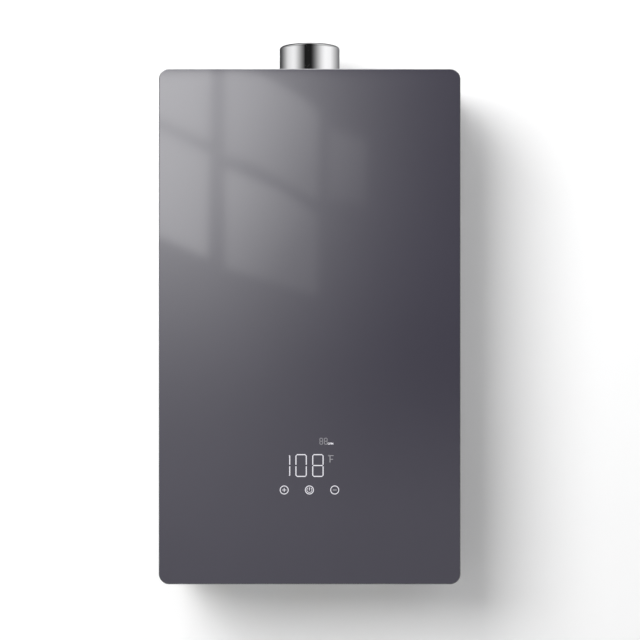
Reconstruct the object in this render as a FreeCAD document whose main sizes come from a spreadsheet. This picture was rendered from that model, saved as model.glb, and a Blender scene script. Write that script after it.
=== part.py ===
# Wall-hung instant gas water heater with a glass front and a chromed flue collar.
#
# Frame: X to the right and Z up as seen from the front, Y from the front to the wall.
# The origin is on the wall plane, in the middle of the four wall-fixing holes.
# The glass faces -Y, so a distance in front of the wall is a negative Y.
# Each sub-part is an object of the document with its own Label, and its sizes
# and places are formulas of the cells of the spreadsheet Sizes.

import FreeCAD, Part
import math
import os
import re

import Sketcher

Vector = FreeCAD.Vector

SIZES = {
    # Glass front and steel case
    "glass_wide": 350,
    "glass_tall": 598,
    "glass_thick": 4,
    "glass_corner": 12,
    "glass_bevel": 0.8,
    "unit_deep": 148,
    "case_inset": 3,
    "case_bend": 1.6,
    "sheet_thick": 1.2,
    "sheet_gap": 0.3,
    "tape_thick": 1.2,
    "tape_wide": 18,
    "tape_inset": 4,
    "lip_deep": 24.8,
    "side_rear_gap": 4,
    "vent_long": 60,
    "vent_tall": 4,
    "vent_pitch": 9,
    "vent_count": 11,
    "vent_bottom": 52,
    "vent_rear": 38,
    # Chassis
    "ear_wide": 250,
    "ear_tall": 14,
    "wall_hole_radius": 3.5,
    "wall_hole_apart": 200,
    "side_flange_deep": 24,
    "plate_setback": 10.8,
    "return_flange_tall": 14,
    "rear_flange_tall": 12,
    "swage_wide": 220,
    "swage_tall": 9,
    "swage_deep": 0.6,
    "rivet_radius": 2.2,
    "air_slots": 8,
    "air_slot_left": 10,
    "air_slot_long": 26,
    "air_slot_back": 70,
    # Screws
    "screw_shank": 2,
    "screw_head": 4,
    "screw_head_tall": 2.2,
    "screw_long": 10,
    "hole_gap": 0.25,
    "cover_screw_inset": 32,
    "cover_screw_back": 18.8,
    # Flue collar and its draught flap
    "flue_back": 70,
    "collar_radius": 36.1,
    "collar_wall": 1,
    "collar_rise": 42.1,
    "rim_round": 3.6,
    "mouth_inset": 4.3,
    "collar_flange_wide": 11.4,
    "collar_screw_out": 6.4,
    "gasket_thick": 1.5,
    "flap_rise": 18,
    "flap_ring_wall": 2.5,
    "flap_ring_tall": 5.6,
    "flap_edge_gap": 1.1,
    "flap_thick": 0.8,
    "flap_pin_radius": 1,
    "flap_knuckle_radius": 2.2,
    "flap_knuckle_half": 20,
    "flap_offset": 6,
    "flap_slot": 1.6,
    "seat_gap": 0.1,
    "run_gap": 0.06,
    # Fan
    "fan_drop": 69.3,
    "fan_left": 48,
    "fan_back": 46,
    "fan_deep": 48,
    "scroll_start": 55,
    "scroll_growth": 24,
    "scroll_from": 60,
    "outlet_half": 31,
    "outlet_flange": 11,
    "wheel_radius": 48,
    "wheel_inner": 39,
    "wheel_wide": 38,
    "wheel_gap": 5,
    "blade_count": 24,
    "blade_thick": 1,
    "hub_radius": 9,
    "hub_long": 22,
    "shaft_radius": 4,
    "eye_radius": 34,
    "motor_plate_radius": 60,
    "motor_plate_thick": 1.5,
    "fan_screw_circle": 56,
    "motor_radius": 38,
    "motor_long": 34,
    "motor_wall": 1.5,
    "bearing_radius": 9,
    "bearing_long": 7,
    "rotor_radius": 26,
    "stator_long": 16,
    # Exhaust hood and heat exchanger
    "hood_drop": 99,
    "hood_skirt_tall": 25,
    "hood_chamber_tall": 128,
    "hood_overhang": 12.5,
    "pipe_rear_gap": 1.2,
    "shell_wide": 196,
    "shell_deep": 102,
    "shell_tall": 170,
    "shell_wall": 1,
    "shell_corner": 11,
    "tube_radius": 8,
    "tube_wall": 0.8,
    "tube_count": 5,
    "tube_pitch": 17,
    "tube_zigzag": 22,
    "tube_drop": 43,
    "bend_stand_off": 6,
    "fin_count": 29,
    "fin_pitch": 6.2,
    "fin_thick": 0.8,
    "fin_tall": 54,
    "fin_drop": 5,
    "fin_edge_gap": 0.4,
    "pipe_radius": 6.5,
    "pipe_wall": 1,
    "pipe_gap": 0.6,
    "pipe_bend": 18,
    "wrap_drop": 105,
    "wrap_turn_out": 18,
    "hot_reach": 23,
    "bracket_in": 50,
    "bracket_wide": 30,
    "bracket_tall": 22,
    # Burner
    "tray_tall": 80,
    "bar_count": 10,
    "bar_pitch": 18.8,
    "bar_thick": 11,
    "bar_tall": 71.5,
    "bar_deep": 93.5,
    "bar_gap": 0.3,
    "mouth_rise": 21,
    "bar_mouth": 5,
    "slit_count": 14,
    "slit_pitch": 6,
    "slit_wide": 1.2,
    "slit_deep": 4,
    "air_gap": 4,
    "manifold_half": 92,
    "manifold_deep": 9.5,
    "manifold_tall": 16,
    "manifold_wall": 1.5,
    "manifold_stand_off": 3.5,
    "injector_radius": 4,
    "injector_tip": 1.5,
    "injector_stub": 2.5,
    "injector_bore": 0.6,
    "electrode_rise": 9,
    "electrode_left": 24,
    "electrode_apart": 32,
    "insulator_radius": 3.5,
    "insulator_long": 28,
    "rod_radius": 0.9,
    "rod_drop": 14,
    # Gas valve
    "fitting_back": 46,
    "thread_radius": 10.48,
    "thread_long": 14,
    "thread_chamfer": 1,
    "shank_radius": 11.5,
    "nut_tall": 4.5,
    "nut_across": 30,
    "flange_radius": 15,
    "flange_tall": 4.3,
    "neck_radius": 11,
    "neck_top": 31.3,
    "bore_radius": 7.5,
    "valve_half": 36,
    "valve_tall": 58,
    "valve_back": 18,
    "valve_deep": 60,
    "plunger_apart": 34,
    "plunger_rise": 36,
    "chamber_radius": 9.5,
    "chamber_deep": 24,
    "port_radius": 4.5,
    "coil_radius": 15,
    "coil_long": 34,
    "coil_core_long": 8,
    "plunger_radius": 5.92,
    "plunger_bore": 6,
    "plunger_reach": 22,
    "gas_way_rise": 12,
    "gas_pipe_radius": 7,
    "gas_pipe_bend": 18,
    "disc_radius": 8.5,
    "disc_thick": 7.7,
    "disc_seat_gap": 0.3,
    "spring_radius": 7.3,
    "spring_wire": 0.45,
    "spring_turns": 5,
    # Water side
    "sensor_long": 52,
    "sensor_radius": 14,
    "sensor_bore": 10,
    "sensor_flange": 17,
    "sensor_flange_tall": 4,
    "turbine_radius": 9.3,
    "turbine_long": 14,
    "turbine_blades": 6,
    "turbine_hub": 3,
    "blade_tilt": 35,
    "axle_radius": 0.9,
    "spider_thick": 3,
    "drain_apart": 33,
    "drain_boss_radius": 9,
    "drain_bore": 5,
    "drain_seat_bore": 2.5,
    "drain_seat_rise": 21.6,
    "drain_knob_radius": 9.5,
    "drain_knob_tall": 12,
    "drain_knob_gap": 3.5,
    "drain_washer_thick": 2,
    "drain_stem_radius": 2.5,
    "drain_stem_deep": 8,
    "flute_count": 18,
    "flute_radius": 1.1,
    # Control electronics
    "controller_left": 44,
    "controller_wide": 120,
    "controller_tall": 125,
    "controller_rise": 9,
    "controller_back": 95,
    "controller_deep": 34,
    "controller_foot": 6,
    "lid_slots": 5,
    "lid_slot_inset": 20,
    "plastic_wall": 2,
    "board_thick": 1.6,
    "board_stand_off": 4,
    "board_pillar_inset": 18,
    "board_edge": 9,
    "transformer_wide": 30,
    "transformer_deep": 18,
    "relay_left": 52,
    "relay_wide": 16,
    "relay_tall": 20,
    "relay_deep": 14,
    "chip_rise": 60,
    "chip_deep": 3,
    "plug_tall": 12,
    "plug_deep": 8,
    "igniter_left": 52,
    "igniter_wide": 44,
    "igniter_back": 104,
    "igniter_deep": 24,
    "igniter_tall": 37,
    "lead_radius": 2,
    "lead_stand_off": 2.5,
    "lead_bend": 8,
    "gland_left": 62,
    "gland_back": 84,
    "gland_radius": 8,
    "gland_flange": 11.5,
    "gland_bore": 4,
    "gland_out": 3,
    "gland_step": 2,
    # Display behind the glass
    "window_wide": 90,
    "window_tall": 88,
    "window_rise": 138,
    "display_gap": 0.5,
    "display_rim": 8,
    "display_wall": 1.5,
    "digits_wide": 60,
    "digits_low": 16,
    "digits_high": 36,
    "key_apart": 29.2,
    "key_drop": 28,
    "key_spring_radius": 4,
    "key_spring_wire": 0.3,
    "key_spring_turns": 3,
}

doc = FreeCAD.newDocument("water_heater")
sheet = doc.addObject("Spreadsheet::Sheet", "Sizes")
for row, (alias, number) in enumerate(SIZES.items(), 1):
    sheet.set(f"A{row}", alias)
    sheet.set(f"B{row}", str(number))
    sheet.setAlias(f"B{row}", alias)
doc.recompute()

ALIAS = re.compile(r"\b(" + "|".join(sorted(SIZES, key=len, reverse=True)) + r")\b")
parts = []


def formula(text):
    """The expression that FreeCAD reads, with each size looked up in the spreadsheet."""
    return ALIAS.sub(r"Sizes.\1", str(text))


def value(text):
    """The number that a formula gives now."""
    return float(sheet.evalExpression(formula(text)))


def count(alias):
    """A size that counts pieces, as a whole number."""
    return int(round(value(alias)))


def bind(thing, **formulas):
    """Ties properties of an object to formulas."""
    for name, text in formulas.items():
        thing.setExpression(name, formula(text))


def place(thing, x="0", y="0", z="0"):
    """Ties an object's position to formulas."""
    for letter, text in zip("xyz", (x, y, z)):
        thing.setExpression(f".Placement.Base.{letter}", formula(text))
    return thing


def part(thing, label):
    """Marks an object as a finished sub-part, and names it."""
    thing.Label = label
    parts.append(thing)
    return thing


def box(x, y, z):
    """A block between two formulas along each axis."""
    block = doc.addObject("Part::Box", "block")
    bind(block, Length=f"({x[1]}) - ({x[0]})", Width=f"({y[1]}) - ({y[0]})", Height=f"({z[1]}) - ({z[0]})")
    return place(block, x[0], y[0], z[0])


TURNS = {
    "X": FreeCAD.Rotation(Vector(0, 1, 0), 90),
    "Y": FreeCAD.Rotation(Vector(1, 0, 0), -90),
    "Z": FreeCAD.Rotation(),
}


def rod(axis, radius, x, y, z):
    """A cylinder along one axis. The span along that axis is a pair of formulas."""
    spans = {"X": x, "Y": y, "Z": z}
    start, end = spans[axis]
    cylinder = doc.addObject("Part::Cylinder", "rod")
    cylinder.Placement = FreeCAD.Placement(Vector(), TURNS[axis])
    bind(cylinder, Radius=radius, Height=f"({end}) - ({start})")
    spans[axis] = start
    return place(cylinder, spans["X"], spans["Y"], spans["Z"])


def together(pieces):
    """Several separate pieces as one object."""
    group = doc.addObject("Part::Compound", "group")
    group.Links = pieces
    return group


def fuse(pieces):
    """Several touching pieces joined into one."""
    joined = doc.addObject("Part::MultiFuse", "joined")
    joined.Shapes = pieces
    joined.Refine = True
    return joined


def cut(base, tools):
    """A base with the tools taken out of it."""
    cutting = doc.addObject("Part::Cut", "cutting")
    cutting.Base = base
    cutting.Tool = together(tools) if len(tools) > 1 else tools[0]
    return cutting


def new_body(axis="Z", x="0", y="0", z="0"):
    """An empty body whose own Z lies along the axis. Y means from the wall towards the room."""
    body = doc.addObject("PartDesign::Body", "body")
    if axis == "Y":
        body.Placement = FreeCAD.Placement(Vector(), FreeCAD.Rotation(Vector(1, 0, 0), 90))
    return place(body, x, y, z)


def new_sketch(body, plane):
    """An empty sketch on one of the body's own planes, such as XZ."""
    sketch = body.newObject("Sketcher::SketchObject", "sketch")
    origin_plane = next(f for f in body.Origin.OriginFeatures if f.Role == f"{plane}_Plane")
    sketch.AttachmentSupport = [(origin_plane, "")]
    sketch.MapMode = "FlatFace"
    return sketch


def locate(sketch, geometry, point, across, up):
    """Fixes one point of a sketch at two formulas from its origin."""
    for kind, text in (("DistanceX", across), ("DistanceY", up)):
        index = sketch.addConstraint(Sketcher.Constraint(kind, -1, 1, geometry, point, value(text)))
        sketch.setExpression(f"Constraints[{index}]", formula(text))


def polygon(sketch, corners):
    """A closed outline of straight lines through corners, which are pairs of formulas."""
    ends = [Vector(value(a), value(b), 0) for a, b in corners]
    first = sketch.GeometryCount
    total = len(corners)
    for i in range(total):
        sketch.addGeometry(Part.LineSegment(ends[i], ends[(i + 1) % total]))
    for i in range(total):
        sketch.addConstraint(Sketcher.Constraint("Coincident", first + i, 2, first + (i + 1) % total, 1))
    for i, (across, up) in enumerate(corners):
        locate(sketch, first + i, 1, across, up)
    return sketch


def rectangle(sketch, x, z):
    """A rectangle between two formulas each way."""
    return polygon(sketch, [(x[0], z[0]), (x[1], z[0]), (x[1], z[1]), (x[0], z[1])])


def circle(sketch, across, up, radius):
    """A circle whose centre and radius are formulas."""
    centre = Vector(value(across), value(up), 0)
    index = sketch.addGeometry(Part.Circle(centre, Vector(0, 0, 1), value(radius)))
    locate(sketch, index, 3, across, up)
    size = sketch.addConstraint(Sketcher.Constraint("Radius", index, value(radius)))
    sketch.setExpression(f"Constraints[{size}]", formula(radius))
    return sketch


def pad(body, sketch, length, reverse=False):
    """Grows a sketch into material."""
    feature = body.newObject("PartDesign::Pad", "pad")
    feature.Profile = sketch
    feature.Reversed = reverse
    bind(feature, Length=length)
    return feature


def pocket(body, sketch, length, reverse=False):
    """Cuts a sketch into the body, and checks that it took material away."""
    doc.recompute()
    before = body.Shape.Volume
    feature = body.newObject("PartDesign::Pocket", "pocket")
    feature.Profile = sketch
    feature.Reversed = reverse
    bind(feature, Length=length)
    doc.recompute()
    if not body.Shape.Volume < before:
        raise RuntimeError(f"a pocket in {body.Name} cuts nothing")
    return feature


def upright(x, y, z, corner):
    """A block whose four upright edges are rounded."""
    body = new_body("Z", z=z[0])
    pad(body, rectangle(new_sketch(body, "XY"), x, y), f"({z[1]}) - ({z[0]})")
    dress(body, "Fillet", corner, along_depth)
    return body


def turned(axis, profile, x="0", y="0", z="0"):
    """A body turned about its axis from a profile of (radius, distance along the axis) formulas."""
    body = new_body(axis, x, y, z)
    sketch = polygon(new_sketch(body, "XZ"), profile)
    turning = body.newObject("PartDesign::Revolution", "turning")
    turning.Profile = sketch
    turning.ReferenceAxis = (sketch, ["V_Axis"])
    turning.Angle = 360
    return body


def dress(body, kind, amount, chosen):
    """Rounds (Fillet) or bevels (Chamfer) the edges of the body that a test picks out."""
    doc.recompute()
    base = body.Tip
    names = [f"Edge{i}" for i, edge in enumerate(base.Shape.Edges, 1) if chosen(edge)]
    if not names:
        raise RuntimeError(f"no edge of {body.Name} was picked")
    feature = body.newObject(f"PartDesign::{kind}", kind.lower())
    feature.Base = (base, names)
    bind(feature, **{"Radius" if kind == "Fillet" else "Size": amount})
    return feature


def along_depth(edge):
    """Tells whether an edge is straight and runs along the body's own Z."""
    return isinstance(edge.Curve, Part.Line) and abs(edge.Curve.Direction.z) > 0.99


def slab(x, z, y, corner):
    """A rounded rectangle, upright in front of the wall, between two distances from it."""
    body = new_body("Y", y=f"-({y[0]})")
    pad(body, rectangle(new_sketch(body, "XY"), x, z), f"({y[1]}) - ({y[0]})")
    dress(body, "Fillet", corner, along_depth)
    return body


def ring_at(radius, along, axis="Z"):
    """Tells whether an edge is a circle of this radius at this distance along the body's own axis."""
    def test(edge):
        curve = edge.Curve
        if not isinstance(curve, Part.Circle):
            return False
        return abs(curve.Radius - value(radius)) < 0.01 and abs(edge.CenterOfMass.z - value(along)) < 0.01
    return test


def set_shape(shape, label):
    """A sub-part whose shape is worked out in code."""
    feature = doc.addObject("Part::Feature", "made")
    feature.Shape = shape
    return part(feature, label)


def at(x, y, z):
    """A point at three formulas."""
    return Vector(value(x), value(y), value(z))


def rounded_route(points, bends):
    """A wire of straight runs joined by tangent arcs, with one bend radius for each inner point."""
    edges = []
    start = points[0]
    for before, corner, after, bend in zip(points, points[1:], points[2:], bends):
        arrive = (corner - before).normalize()
        leave = (after - corner).normalize()
        turn = arrive.getAngle(leave)
        reach = bend * math.tan(turn / 2)
        arc_start = corner - arrive * reach
        arc_end = corner + leave * reach
        inward = (leave - arrive).normalize()
        middle = corner + inward * (bend / math.cos(turn / 2) - bend)
        if (arc_start - start).Length > 0.001:
            edges.append(Part.LineSegment(start, arc_start).toShape())
        edges.append(Part.Arc(arc_start, middle, arc_end).toShape())
        start = arc_end
    if (points[-1] - start).Length > 0.001:
        edges.append(Part.LineSegment(start, points[-1]).toShape())
    return Part.Wire(edges)


def swept(route, radius):
    """A round bar along a route."""
    first = route.OrderedEdges[0]
    section = Part.Wire(Part.makeCircle(radius, first.valueAt(first.FirstParameter),
                                        first.tangentAt(first.FirstParameter)))
    return route.makePipeShell([section], True, False)


def tube(route, radius, wall):
    """A round tube along a route."""
    outside = swept(route, radius)
    expected = math.pi * radius ** 2 * route.Length
    if abs(outside.Volume - expected) > 0.01 * expected:
        raise RuntimeError(f"a tube has volume {outside.Volume:.0f}, not {expected:.0f}")
    return outside.cut(swept(route, radius - wall)) if wall else outside


def coil_spring(radius, wire, turns, length, centre, axis):
    """A spring of even turns that starts at its centre point and runs along its axis, as tangent arcs."""
    arcs_per_turn = 8
    total = turns * arcs_per_turn
    step = 2 * math.pi / arcs_per_turn
    outer = radius / math.cos(step / 2)
    corners = [Vector(outer * math.cos(i * step), outer * math.sin(i * step), length * (i - 0.5) / total)
               for i in range(total + 2)]
    first = (corners[0] + corners[1]) / 2
    last = (corners[-2] + corners[-1]) / 2
    side = corners[1] - corners[0]
    turn = side.getAngle(corners[2] - corners[1])
    bend = side.Length / 2 / math.tan(turn / 2)
    route = rounded_route([first] + corners[1:-1] + [last], [bend] * total)
    spring = tube(route, wire, 0)
    print(f"spring: {turns} turns, gap between turns {length / turns - 2 * wire:.2f}")
    spring.Placement = FreeCAD.Placement(centre, FreeCAD.Rotation(Vector(0, 0, 1), axis))
    return spring


# Formulas that several pieces share. Each names a face, an edge or an axis.
CASE_X = "(glass_wide/2 - case_inset)"
CASE_Z = "(glass_tall/2 - case_inset)"
CASE_FRONT = "(unit_deep - glass_thick - tape_thick)"
FRAME_X = f"({CASE_X} - sheet_thick - sheet_gap)"
FRAME_Z = f"({CASE_Z} - sheet_thick - sheet_gap)"
CASE_CORNER = "(glass_corner - case_inset)"
FRAME_CORNER = f"({CASE_CORNER} - sheet_thick - sheet_gap)"
PLATE_FRONT = f"({CASE_FRONT} - plate_setback)"
ROOF = f"({FRAME_Z} - sheet_thick)"
FLOOR = f"(-{FRAME_Z} + sheet_thick)"
SCREW_X = f"({CASE_X} - cover_screw_inset)"
SCREW_Y = f"({CASE_FRONT} - cover_screw_back)"
HOLE = "(screw_shank + hole_gap)"
COLLAR_SEAT = f"({FRAME_Z} + gasket_thick)"
COLLAR_TOP = f"({FRAME_Z} + collar_rise)"
FLAP_Z = f"({COLLAR_SEAT} + flap_rise)"
COLLAR_FLANGE = "(collar_radius + collar_flange_wide)"
COLLAR_SCREWS = "(collar_radius + collar_screw_out)"
MOUTH = "(collar_radius - mouth_inset)"
FLAP_RING_BORE = "(collar_radius - collar_wall - flap_ring_wall)"
FLAP_RADIUS = f"({FLAP_RING_BORE} - flap_edge_gap)"
FLAP_Y = "(flue_back - flap_offset)"
FAN_Z = f"({ROOF} - fan_drop)"
FAN_FRONT = "(fan_back + fan_deep)"
MOTOR_BACK = f"({FAN_FRONT} + motor_plate_thick)"
MOTOR_FRONT = f"({MOTOR_BACK} + motor_long)"
WHEEL_BACK = "(-fan_back - wheel_gap)"
SHELL_X = "(shell_wide/2)"
SHELL_BACK = "(sheet_thick + pipe_rear_gap + 2*pipe_radius + pipe_gap)"
SHELL_FRONT = f"({SHELL_BACK} + shell_deep)"
SHELL_TOP = f"({FAN_Z} - hood_drop)"
SHELL_BOTTOM = f"({SHELL_TOP} - shell_tall)"
TRAY_BOTTOM = f"({SHELL_BOTTOM} - tray_tall)"
BAR_BOTTOM = f"({TRAY_BOTTOM} + sheet_thick + bar_gap)"
MOUTH_Z = f"({TRAY_BOTTOM} + mouth_rise)"
ELECTRODE_Z = f"({SHELL_BOTTOM} + electrode_rise)"
LEAD_FRONT = f"({SHELL_FRONT} + insulator_long/2 + lead_stand_off)"
PIPE_X = f"({SHELL_X} + pipe_gap + pipe_radius)"
HOT_X = f"(-{PIPE_X} - hot_reach)"
WRAP_BACK = f"({SHELL_BACK} - pipe_gap - pipe_radius)"
WRAP_FRONT = f"({SHELL_FRONT} + pipe_gap + pipe_radius)"
WRAP_Z = f"({SHELL_TOP} - wrap_drop)"
TUBE_Z = f"({SHELL_TOP} - tube_drop)"
TUBE_FIRST_Y = f"({SHELL_BACK} + tube_pitch)"
NUT_FACE = f"(-{FRAME_Z} - nut_tall)"
THREAD_END = f"({NUT_FACE} - thread_long)"
NECK_TOP = f"({FLOOR} + neck_top)"
SENSOR_TOP = f"({NECK_TOP} + sensor_long)"
TURBINE_Z = f"({NECK_TOP} + sensor_long/2)"
VALVE_FRONT = "(valve_back + valve_deep)"
VALVE_TOP = f"({NECK_TOP} + valve_tall)"
CHAMBER_Y = f"(-{VALVE_FRONT} + chamber_deep/2)"
PLUNGER_Z = f"({NECK_TOP} + plunger_rise)"
KNOB_TOP = f"(-{FRAME_Z} - drain_knob_gap)"
CONTROLLER = (
    ("(-controller_left - controller_wide)", "(-controller_left)"),
    ("(-controller_back - controller_deep)", "(-controller_back)"),
    (f"({FLOOR} + controller_rise)", f"({FLOOR} + controller_rise + controller_tall)"),
)
# What stands on the control board: from its left and lower edges, width, height and depth.
BOARD_PIECES = (
    ("board_edge", "board_edge", "transformer_wide", "transformer_wide", "transformer_deep"),
    ("relay_left", "board_edge", "relay_wide", "relay_tall", "relay_deep"),
    ("(relay_left + 1.5*relay_wide)", "board_edge", "relay_wide", "relay_tall", "relay_deep"),
    ("board_edge", "chip_rise", "relay_tall", "relay_tall", "chip_deep"),
    ("relay_left", "chip_rise", "2.5*relay_wide", "plug_tall", "plug_deep"),
    ("relay_left", "(chip_rise + 2*plug_tall)", "2.5*relay_wide", "plug_tall", "plug_deep"),
)
IGNITER_X = "(igniter_left + igniter_wide/2)"
IGNITER_Y = "(-igniter_back - igniter_deep/2)"
IGNITER_TOP = f"({FLOOR} + igniter_tall)"
WINDOW_Z = "(window_rise - glass_tall/2)"
GLASS_BACK = "(unit_deep - glass_thick)"
DISPLAY_FRONT = f"({GLASS_BACK} - sheet_gap)"
BOARD_FRONT = f"({CASE_FRONT} - sheet_thick - display_wall - seat_gap)"
KEY_Z = f"({WINDOW_Z} - key_drop)"
DRAIN_X = f"({PIPE_X} + drain_apart)"
DRAIN_SEAT = f"({FLOOR} + drain_seat_rise)"


def glass_panel():
    """Tempered glass front with rounded corners and a ground front edge."""
    body = slab(("-glass_wide/2", "glass_wide/2"), ("-glass_tall/2", "glass_tall/2"),
                (GLASS_BACK, "unit_deep"), "glass_corner")
    front = value("glass_thick")
    dress(body, "Chamfer", "glass_bevel", lambda edge: abs(edge.BoundBox.ZMin - front) < 0.01)
    part(body, "glass_panel")


def glass_tape():
    """Foam tape that bonds the glass to the case."""
    outer_x = f"({CASE_X} - tape_inset)"
    outer_z = f"({CASE_Z} - tape_inset)"
    body = slab((f"-{outer_x}", outer_x), (f"-{outer_z}", outer_z), (CASE_FRONT, GLASS_BACK), "tape_inset")
    inner_x = f"({outer_x} - tape_wide)"
    inner_z = f"({outer_z} - tape_wide)"
    inside = rectangle(new_sketch(body, "XY"), (f"-{inner_x}", inner_x), (f"-{inner_z}", inner_z))
    pocket(body, inside, "tape_thick", reverse=True)
    part(body, "glass_tape")


def front_case():
    """Folded steel cover: a front, two full sides, and short lips over the top and bottom plates."""
    outside = slab((f"-{CASE_X}", CASE_X), (f"-{CASE_Z}", CASE_Z), ("side_rear_gap", CASE_FRONT), CASE_CORNER)
    front = value(f"{CASE_FRONT} - side_rear_gap")
    dress(outside, "Fillet", "case_bend", lambda edge: abs(edge.BoundBox.ZMin - front) < 0.01)
    inner_x = f"({CASE_X} - sheet_thick)"
    inner_z = f"({CASE_Z} - sheet_thick)"
    inside = slab((f"-{inner_x}", inner_x), (f"-{inner_z}", inner_z),
                  ("side_rear_gap/2", f"{CASE_FRONT} - sheet_thick"), f"({CASE_CORNER} - sheet_thick)")
    straight = f"({CASE_X} - {CASE_CORNER})"
    cuts = [inside]
    cuts.append(box((f"-{straight}", straight), (f"-{CASE_FRONT} + lip_deep", "0"),
                    (f"-{CASE_Z} - sheet_thick", f"{CASE_Z} + sheet_thick")))
    cuts.append(box(("-window_wide/2", "window_wide/2"), (f"-{CASE_FRONT} - sheet_thick", "-lip_deep"),
                    (f"{WINDOW_Z} - window_tall/2", f"{WINDOW_Z} + window_tall/2")))
    for row in range(count("vent_count")):
        low = f"(-{CASE_Z} + vent_bottom + {row}*vent_pitch)"
        cuts.append(box((f"-{CASE_X} - sheet_thick", f"{CASE_X} + sheet_thick"),
                        ("-vent_rear - vent_long", "-vent_rear"), (low, f"{low} + vent_tall")))
    for side in (-1, 1):
        through = (f"-{CASE_Z} - sheet_thick", f"{CASE_Z} + sheet_thick")
        cuts.append(rod("Z", HOLE, f"{side}*{SCREW_X}", f"-{SCREW_Y}", through))
    part(cut(outside, cuts), "front_case")


def cover_screws():
    """Captive screws that hold the cover's lips to the top and bottom plates."""
    screws = []
    for side in (-1, 1):
        for end in (-1, 1):
            x = f"{side}*{SCREW_X}"
            y = f"-{SCREW_Y}"
            face = f"{CASE_Z}"
            head = (face, f"{face} + screw_head_tall")
            shank = (f"{face} - screw_long", face)
            if end < 0:
                head = (f"-{face} - screw_head_tall", f"-{face}")
                shank = (f"-{face}", f"-{face} + screw_long")
            screws.append(fuse([rod("Z", "screw_head", x, y, head), rod("Z", "screw_shank", x, y, shank)]))
    part(together(screws), "cover_screws")


def cover_nuts():
    """Square nuts on the cover's screws, which slide into the plates' notches from the front."""
    nuts = []
    for side in (-1, 1):
        x = f"{side}*{SCREW_X}"
        for end in (-1, 1):
            span = (f"{ROOF} - sheet_gap - screw_head_tall", f"{ROOF} - sheet_gap")
            if end < 0:
                span = (f"{FLOOR} + sheet_gap", f"{FLOOR} + sheet_gap + screw_head_tall")
            block = box((f"{x} - screw_head", f"{x} + screw_head"),
                        (f"-{SCREW_Y} - screw_head", f"-{SCREW_Y} + screw_head"), span)
            nuts.append(cut(block, [rod("Z", "screw_shank", x, f"-{SCREW_Y}", span)]))
    part(together(nuts), "cover_nuts")


def back_plate():
    """Back sheet with hanging ears, wall-fixing holes, side flanges and pressed swages."""
    body = new_body("Y")
    half = "ear_wide/2"
    top = f"({FRAME_Z} + ear_tall)"
    sketch = polygon(new_sketch(body, "XY"), [
        (f"-{FRAME_X}", f"-{FRAME_Z} + {FRAME_CORNER}"), (f"-{FRAME_X} + {FRAME_CORNER}", f"-{FRAME_Z}"),
        (f"-{half}", f"-{FRAME_Z}"), (f"-{half}", f"-{top}"), (half, f"-{top}"), (half, f"-{FRAME_Z}"),
        (f"{FRAME_X} - {FRAME_CORNER}", f"-{FRAME_Z}"), (FRAME_X, f"-{FRAME_Z} + {FRAME_CORNER}"),
        (FRAME_X, f"{FRAME_Z} - {FRAME_CORNER}"), (f"{FRAME_X} - {FRAME_CORNER}", FRAME_Z),
        (half, FRAME_Z), (half, top), (f"-{half}", top), (f"-{half}", FRAME_Z),
        (f"-{FRAME_X} + {FRAME_CORNER}", FRAME_Z), (f"-{FRAME_X}", f"{FRAME_Z} - {FRAME_CORNER}"),
    ])
    pad(body, sketch, "sheet_thick")
    flange_z = f"({FRAME_Z} - {FRAME_CORNER})"
    for side in (-1, 1):
        x = (f"{FRAME_X} - sheet_thick", FRAME_X) if side > 0 else (f"-{FRAME_X}", f"-{FRAME_X} + sheet_thick")
        pad(body, rectangle(new_sketch(body, "XY"), x, (f"-{flange_z}", flange_z)), "side_flange_deep")
    holes = new_sketch(body, "XY")
    for side in (-1, 1):
        for end in (-1, 1):
            circle(holes, f"{side}*wall_hole_apart/2", f"{end}*({FRAME_Z} + ear_tall/2)", "wall_hole_radius")
    pocket(body, holes, "2*sheet_thick", reverse=True)
    swages = new_sketch(body, "XY")
    for level in (-2, -1, 1, 2):
        middle = f"({level}*{FRAME_Z}*0.38)"
        rectangle(swages, ("-swage_wide/2", "swage_wide/2"),
                  (f"{middle} - swage_tall/2", f"{middle} + swage_tall/2"))
    pocket(body, swages, "swage_deep", reverse=True)
    part(cut(body, rivet_shanks()), "back_plate")


def rivet_places():
    """Where the rivets stand that join the back plate to the rear flanges."""
    return [(f"{side}*ear_wide/2*0.9", f"{end}*({ROOF} - rear_flange_tall/2)")
            for side in (-1, 0, 1) for end in (-1, 1)]


def rivet_shanks():
    """The rivets' shanks through both sheets."""
    return [rod("Y", "rivet_radius", x, ("-2*sheet_thick", "0"), z) for x, z in rivet_places()]


def plate_rivets():
    """Rivets that join the back plate to the top and bottom plates."""
    rivets = []
    for (x, z), shank in zip(rivet_places(), rivet_shanks()):
        head = rod("Y", "1.8*rivet_radius", x, ("-2*sheet_thick - 1", "-2*sheet_thick"), z)
        rivets.append(fuse([shank, head]))
    part(together(rivets), "plate_rivets")


def collar_screw_place(quarter):
    """Where one of the four collar screws stands."""
    turn = 45 + 90 * quarter
    return f"{COLLAR_SCREWS}*cos({turn})", f"-flue_back + {COLLAR_SCREWS}*sin({turn})"


def fan_screw_place(number):
    """Where one of the four motor screws stands, over the wide part of the scroll."""
    turn = 150 + 60 * number
    return f"-fan_left + fan_screw_circle*cos({turn})", f"{FAN_Z} + fan_screw_circle*sin({turn})"


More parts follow.
